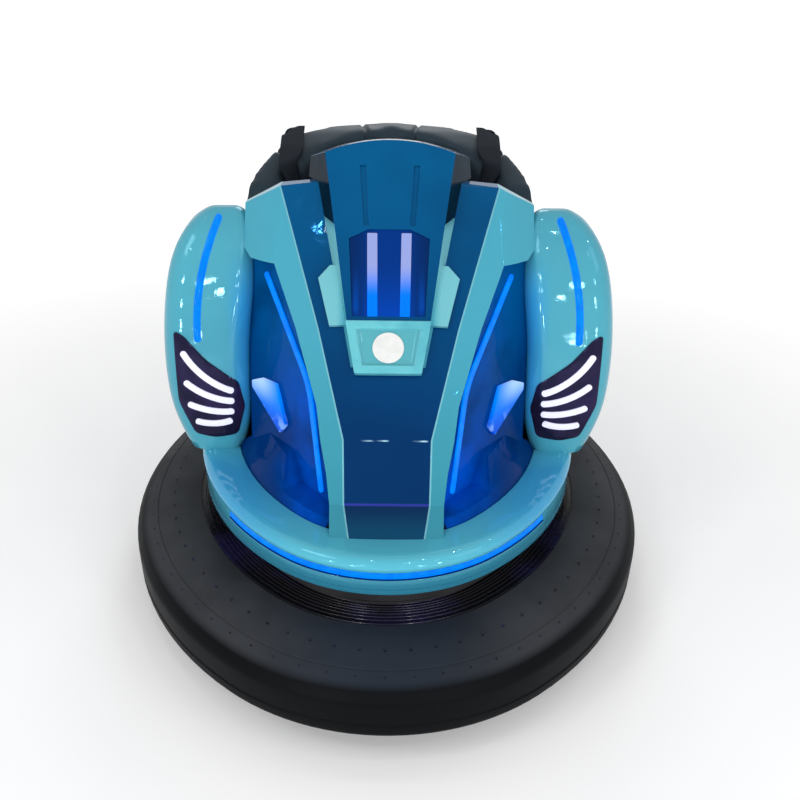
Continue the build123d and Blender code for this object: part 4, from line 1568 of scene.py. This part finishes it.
TYRES = {
    # tyre: its hub
    "drive_tyre": "drive_hub",
    "rear_tyre_left": "rear_hub_left",
    "rear_tyre_right": "rear_hub_right",
}
TREAD_GROOVES = (-0.18, 0, 0.18)


class BuildWheels(bpy.types.Operator):
    """Build the road tyres with their tread"""
    bl_idname = "bumper_car.build_wheels"
    bl_label = "Build the road tyres"

    def execute(self, context):
        for node, hub in TYRES.items():
            low, high = (Vector(corner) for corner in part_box(node))
            hub_low, hub_high = (Vector(corner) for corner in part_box(hub))
            mesh = self.tyre((high.z - low.z) / 2, high.x - low.x, (hub_high.z - hub_low.z) / 2)
            across = Matrix.Rotation(math.pi / 2, 4, "Y")
            moved(mesh, Matrix.Translation((low + high) / 2) @ across)
            shade_smooth(mesh, math.radians(30))
            place(mesh, f"{node}_treaded", node, "road_rubber")
        return {"FINISHED"}

    def tyre(self, radius, width, inner):
        half = width / 2
        shoulder = width * 0.16
        rows = [
            # radius, height, rounding
            (inner, -half, 0),
            (radius - shoulder, -half, 0),
            (radius, -half + shoulder, 0),
        ]
        for part in TREAD_GROOVES:
            middle = part * width
            for along, sunk in ((-0.0018, 0), (-0.001, 0.003), (0.001, 0.003), (0.0018, 0)):
                rows.append((radius - sunk, middle + along, 0))
        rows += [(radius, half - shoulder, 0), (radius - shoulder, half, 0), (inner, half, 0)]
        mesh = turned(rows, steps=56)
        tread = [
            face for face in mesh.faces
            if min(math.hypot(*vert.co.xy) for vert in face.verts) > radius - TINY
        ]
        bmesh.ops.inset_individual(mesh, faces=tread, thickness=0.0011, depth=-0.0012)
        return mesh


# CAD nodes that keep their shape

FINISH = {
    # finish: nodes
    "frame_paint": ("chassis_rim", "chassis_frame", "floor_pan", "steering_fork", "battery"),
    "bare_metal": ("rear_axle", "drive_hub", "rear_hub_left", "rear_hub_right"),
}


class DressNodes(bpy.types.Operator):
    """Give the CAD nodes that keep their shape their finishes"""
    bl_idname = "bumper_car.dress_nodes"
    bl_label = "Dress the CAD nodes"

    def execute(self, context):
        for finish, names in FINISH.items():
            for name in names:
                data = NODES[name].data
                data.materials.clear()
                data.materials.append(bpy.data.materials[finish])
        return {"FINISHED"}


# The stage

SOFT_LAMPS = (
    # name, place, what it points at, size, power
    ("key", (-1.7, -1.5, 2.6), (0, 0, 0.4), 0.8, 10),
    ("fill", (2.1, -1.5, 2.3), (0, 0, 0.4), 1.0, 5),
    ("back", (0.2, 2.2, 2.6), (0, 0.2, 0.5), 1.2, 16),
)
CEILING = 2.5
CEILING_LAMP = ((0, 0, 0.4), 0.04, 0.9)
HALL_Y = -3.2
HALL_HEIGHTS = (0.5, 1.15, 1.9)
HALL_LAMP = ((0, 0, 0.5), 0.18, 4.9)
FRAME_PX = 800
SENSOR = 36


class BuildStage(bpy.types.Operator):
    """Make the floor, the light and the camera"""
    bl_idname = "bumper_car.build_stage"
    bl_label = "Build the stage"

    def execute(self, context):
        scene = context.scene
        scene.view_settings.view_transform = "Standard"
        self.make_floor()
        self.make_world(scene)
        self.make_lamps()
        self.make_camera(scene)
        return {"FINISHED"}

    def make_floor(self):
        mesh = bmesh.new()
        bmesh.ops.create_grid(mesh, x_segments=1, y_segments=1, size=40)
        data = bpy.data.meshes.new("floor")
        mesh.to_mesh(data)
        mesh.free()
        shade = Shade("floor_paint")
        away = shade.node("ShaderNodeVectorMath", Vector=shade.place())
        away.operation = "LENGTH"
        shade.set(
            Base_Color=(0.9, 0.9, 0.905),
            Roughness=0.6,
            Emission_Color=(1.0, 1.0, 1.0),
            Emission_Strength=shade.scaled(
                shade.span(away.outputs["Value"], 0.6, 3.5), 0.4, 0.15),
        )
        data.materials.append(shade.material)
        in_scene("floor", data)

    def make_world(self, scene):
        """White to the camera and in reflections, dimmer as light on the car."""
        world = bpy.data.worlds.new("studio")
        world.use_nodes = True
        scene.world = world
        graph = Graph(world.node_tree)
        path = graph.node("ShaderNodeLightPath").outputs
        seen = graph.math("MAXIMUM", path["Is Camera Ray"], path["Is Transmission Ray"])
        seen = graph.math("MAXIMUM", seen, path["Is Glossy Ray"])
        level = graph.node("ShaderNodeMapRange", Value=seen, To_Min=0.45, To_Max=1.0)
        graph.fill(graph.tree.nodes["Background"], {
            "Color": (1, 1, 1), "Strength": level.outputs["Result"]})

    def make_lamps(self):
        for lamp in SOFT_LAMPS:
            self.add_lamp(*lamp)
        for row in range(3):
            for column in range(4):
                spot = (-1.35 + 0.9 * column + 0.2 * row, -1.9 + 0.95 * row, CEILING)
                self.add_lamp(f"ceiling_{row}_{column}", spot, *CEILING_LAMP)
        for row, height in enumerate(HALL_HEIGHTS):
            for column in range(2):
                stray = 0.16 * math.sin(5.0 * column + 3.0 * row)
                for side in (-1, 1):
                    spot = (side * (2 - column - stray), HALL_Y, height + stray)
                    self.add_lamp(f"hall_{row}_{column}_{side}", spot, *HALL_LAMP)

    def add_lamp(self, name, spot, aim, size, power):
        data = bpy.data.lights.new(name, "AREA")
        data.size = size
        data.energy = power
        lamp = in_scene(name, data)
        lamp.location = spot
        lamp.rotation_euler = (Vector(aim) - Vector(spot)).to_track_quat("-Z", "Y").to_euler()

    def make_camera(self, scene):
        view = scene.car_camera
        data = bpy.data.cameras.new("camera")
        data.sensor_width = SENSOR
        data.lens = view.focal_px * SENSOR / FRAME_PX
        data.shift_x = (FRAME_PX / 2 - view.middle_x) / FRAME_PX
        data.shift_y = (view.middle_y - FRAME_PX / 2) / FRAME_PX
        camera = in_scene("camera", data)
        camera.location = (0, -view.distance, view.height)
        tilt = Matrix.Rotation(math.pi / 2 - view.pitch, 4, "X")
        roll = Matrix.Rotation(view.roll, 4, "Z")
        camera.rotation_euler = (tilt @ roll).to_euler()
        scene.camera = camera


# The add-on

OPERATORS = (
    MakeFinishes,
    BuildRing,
    BuildTub,
    BuildHood,
    BuildFenders,
    BuildRear,
    BuildSeat,
    BuildSteering,
    BuildWheels,
    DressNodes,
    BuildStage,
)
GROUPS = (
    ("car_paint", PaintSettings),
    ("car_ring", RingSettings),
    ("car_tub", TubSettings),
    ("car_seat", SeatSettings),
    ("car_camera", CameraSettings),
)


class BumperCarPanel(bpy.types.Panel):
    """Sidebar panel with the settings and the steps"""
    bl_idname = "BUMPER_PT_car"
    bl_label = "Bumper car"
    bl_space_type = "VIEW_3D"
    bl_region_type = "UI"
    bl_category = "Bumper car"

    def draw(self, context):
        for name, group in GROUPS:
            box = self.layout.box()
            for prop in group.__annotations__:
                box.prop(getattr(context.scene, name), prop)
        for step in OPERATORS:
            self.layout.operator(step.bl_idname)


def register():
    for name, group in GROUPS:
        bpy.utils.register_class(group)
        setattr(bpy.types.Scene, name, bpy.props.PointerProperty(type=group))
    for step in OPERATORS:
        bpy.utils.register_class(step)
    bpy.utils.register_class(BumperCarPanel)


def unregister():
    bpy.utils.unregister_class(BumperCarPanel)
    for step in reversed(OPERATORS):
        bpy.utils.unregister_class(step)
    for name, group in reversed(GROUPS):
        delattr(bpy.types.Scene, name)
        bpy.utils.unregister_class(group)


def main():
    register()
    bpy.ops.bumper_car.make_finishes()
    bpy.ops.bumper_car.build_ring()
    bpy.ops.bumper_car.build_tub()
    bpy.ops.bumper_car.build_hood()
    bpy.ops.bumper_car.build_fenders()
    bpy.ops.bumper_car.build_rear()
    bpy.ops.bumper_car.build_seat()
    bpy.ops.bumper_car.build_steering()
    bpy.ops.bumper_car.build_wheels()
    bpy.ops.bumper_car.dress_nodes()
    bpy.ops.bumper_car.build_stage()


if __name__ == "__main__":
    main()
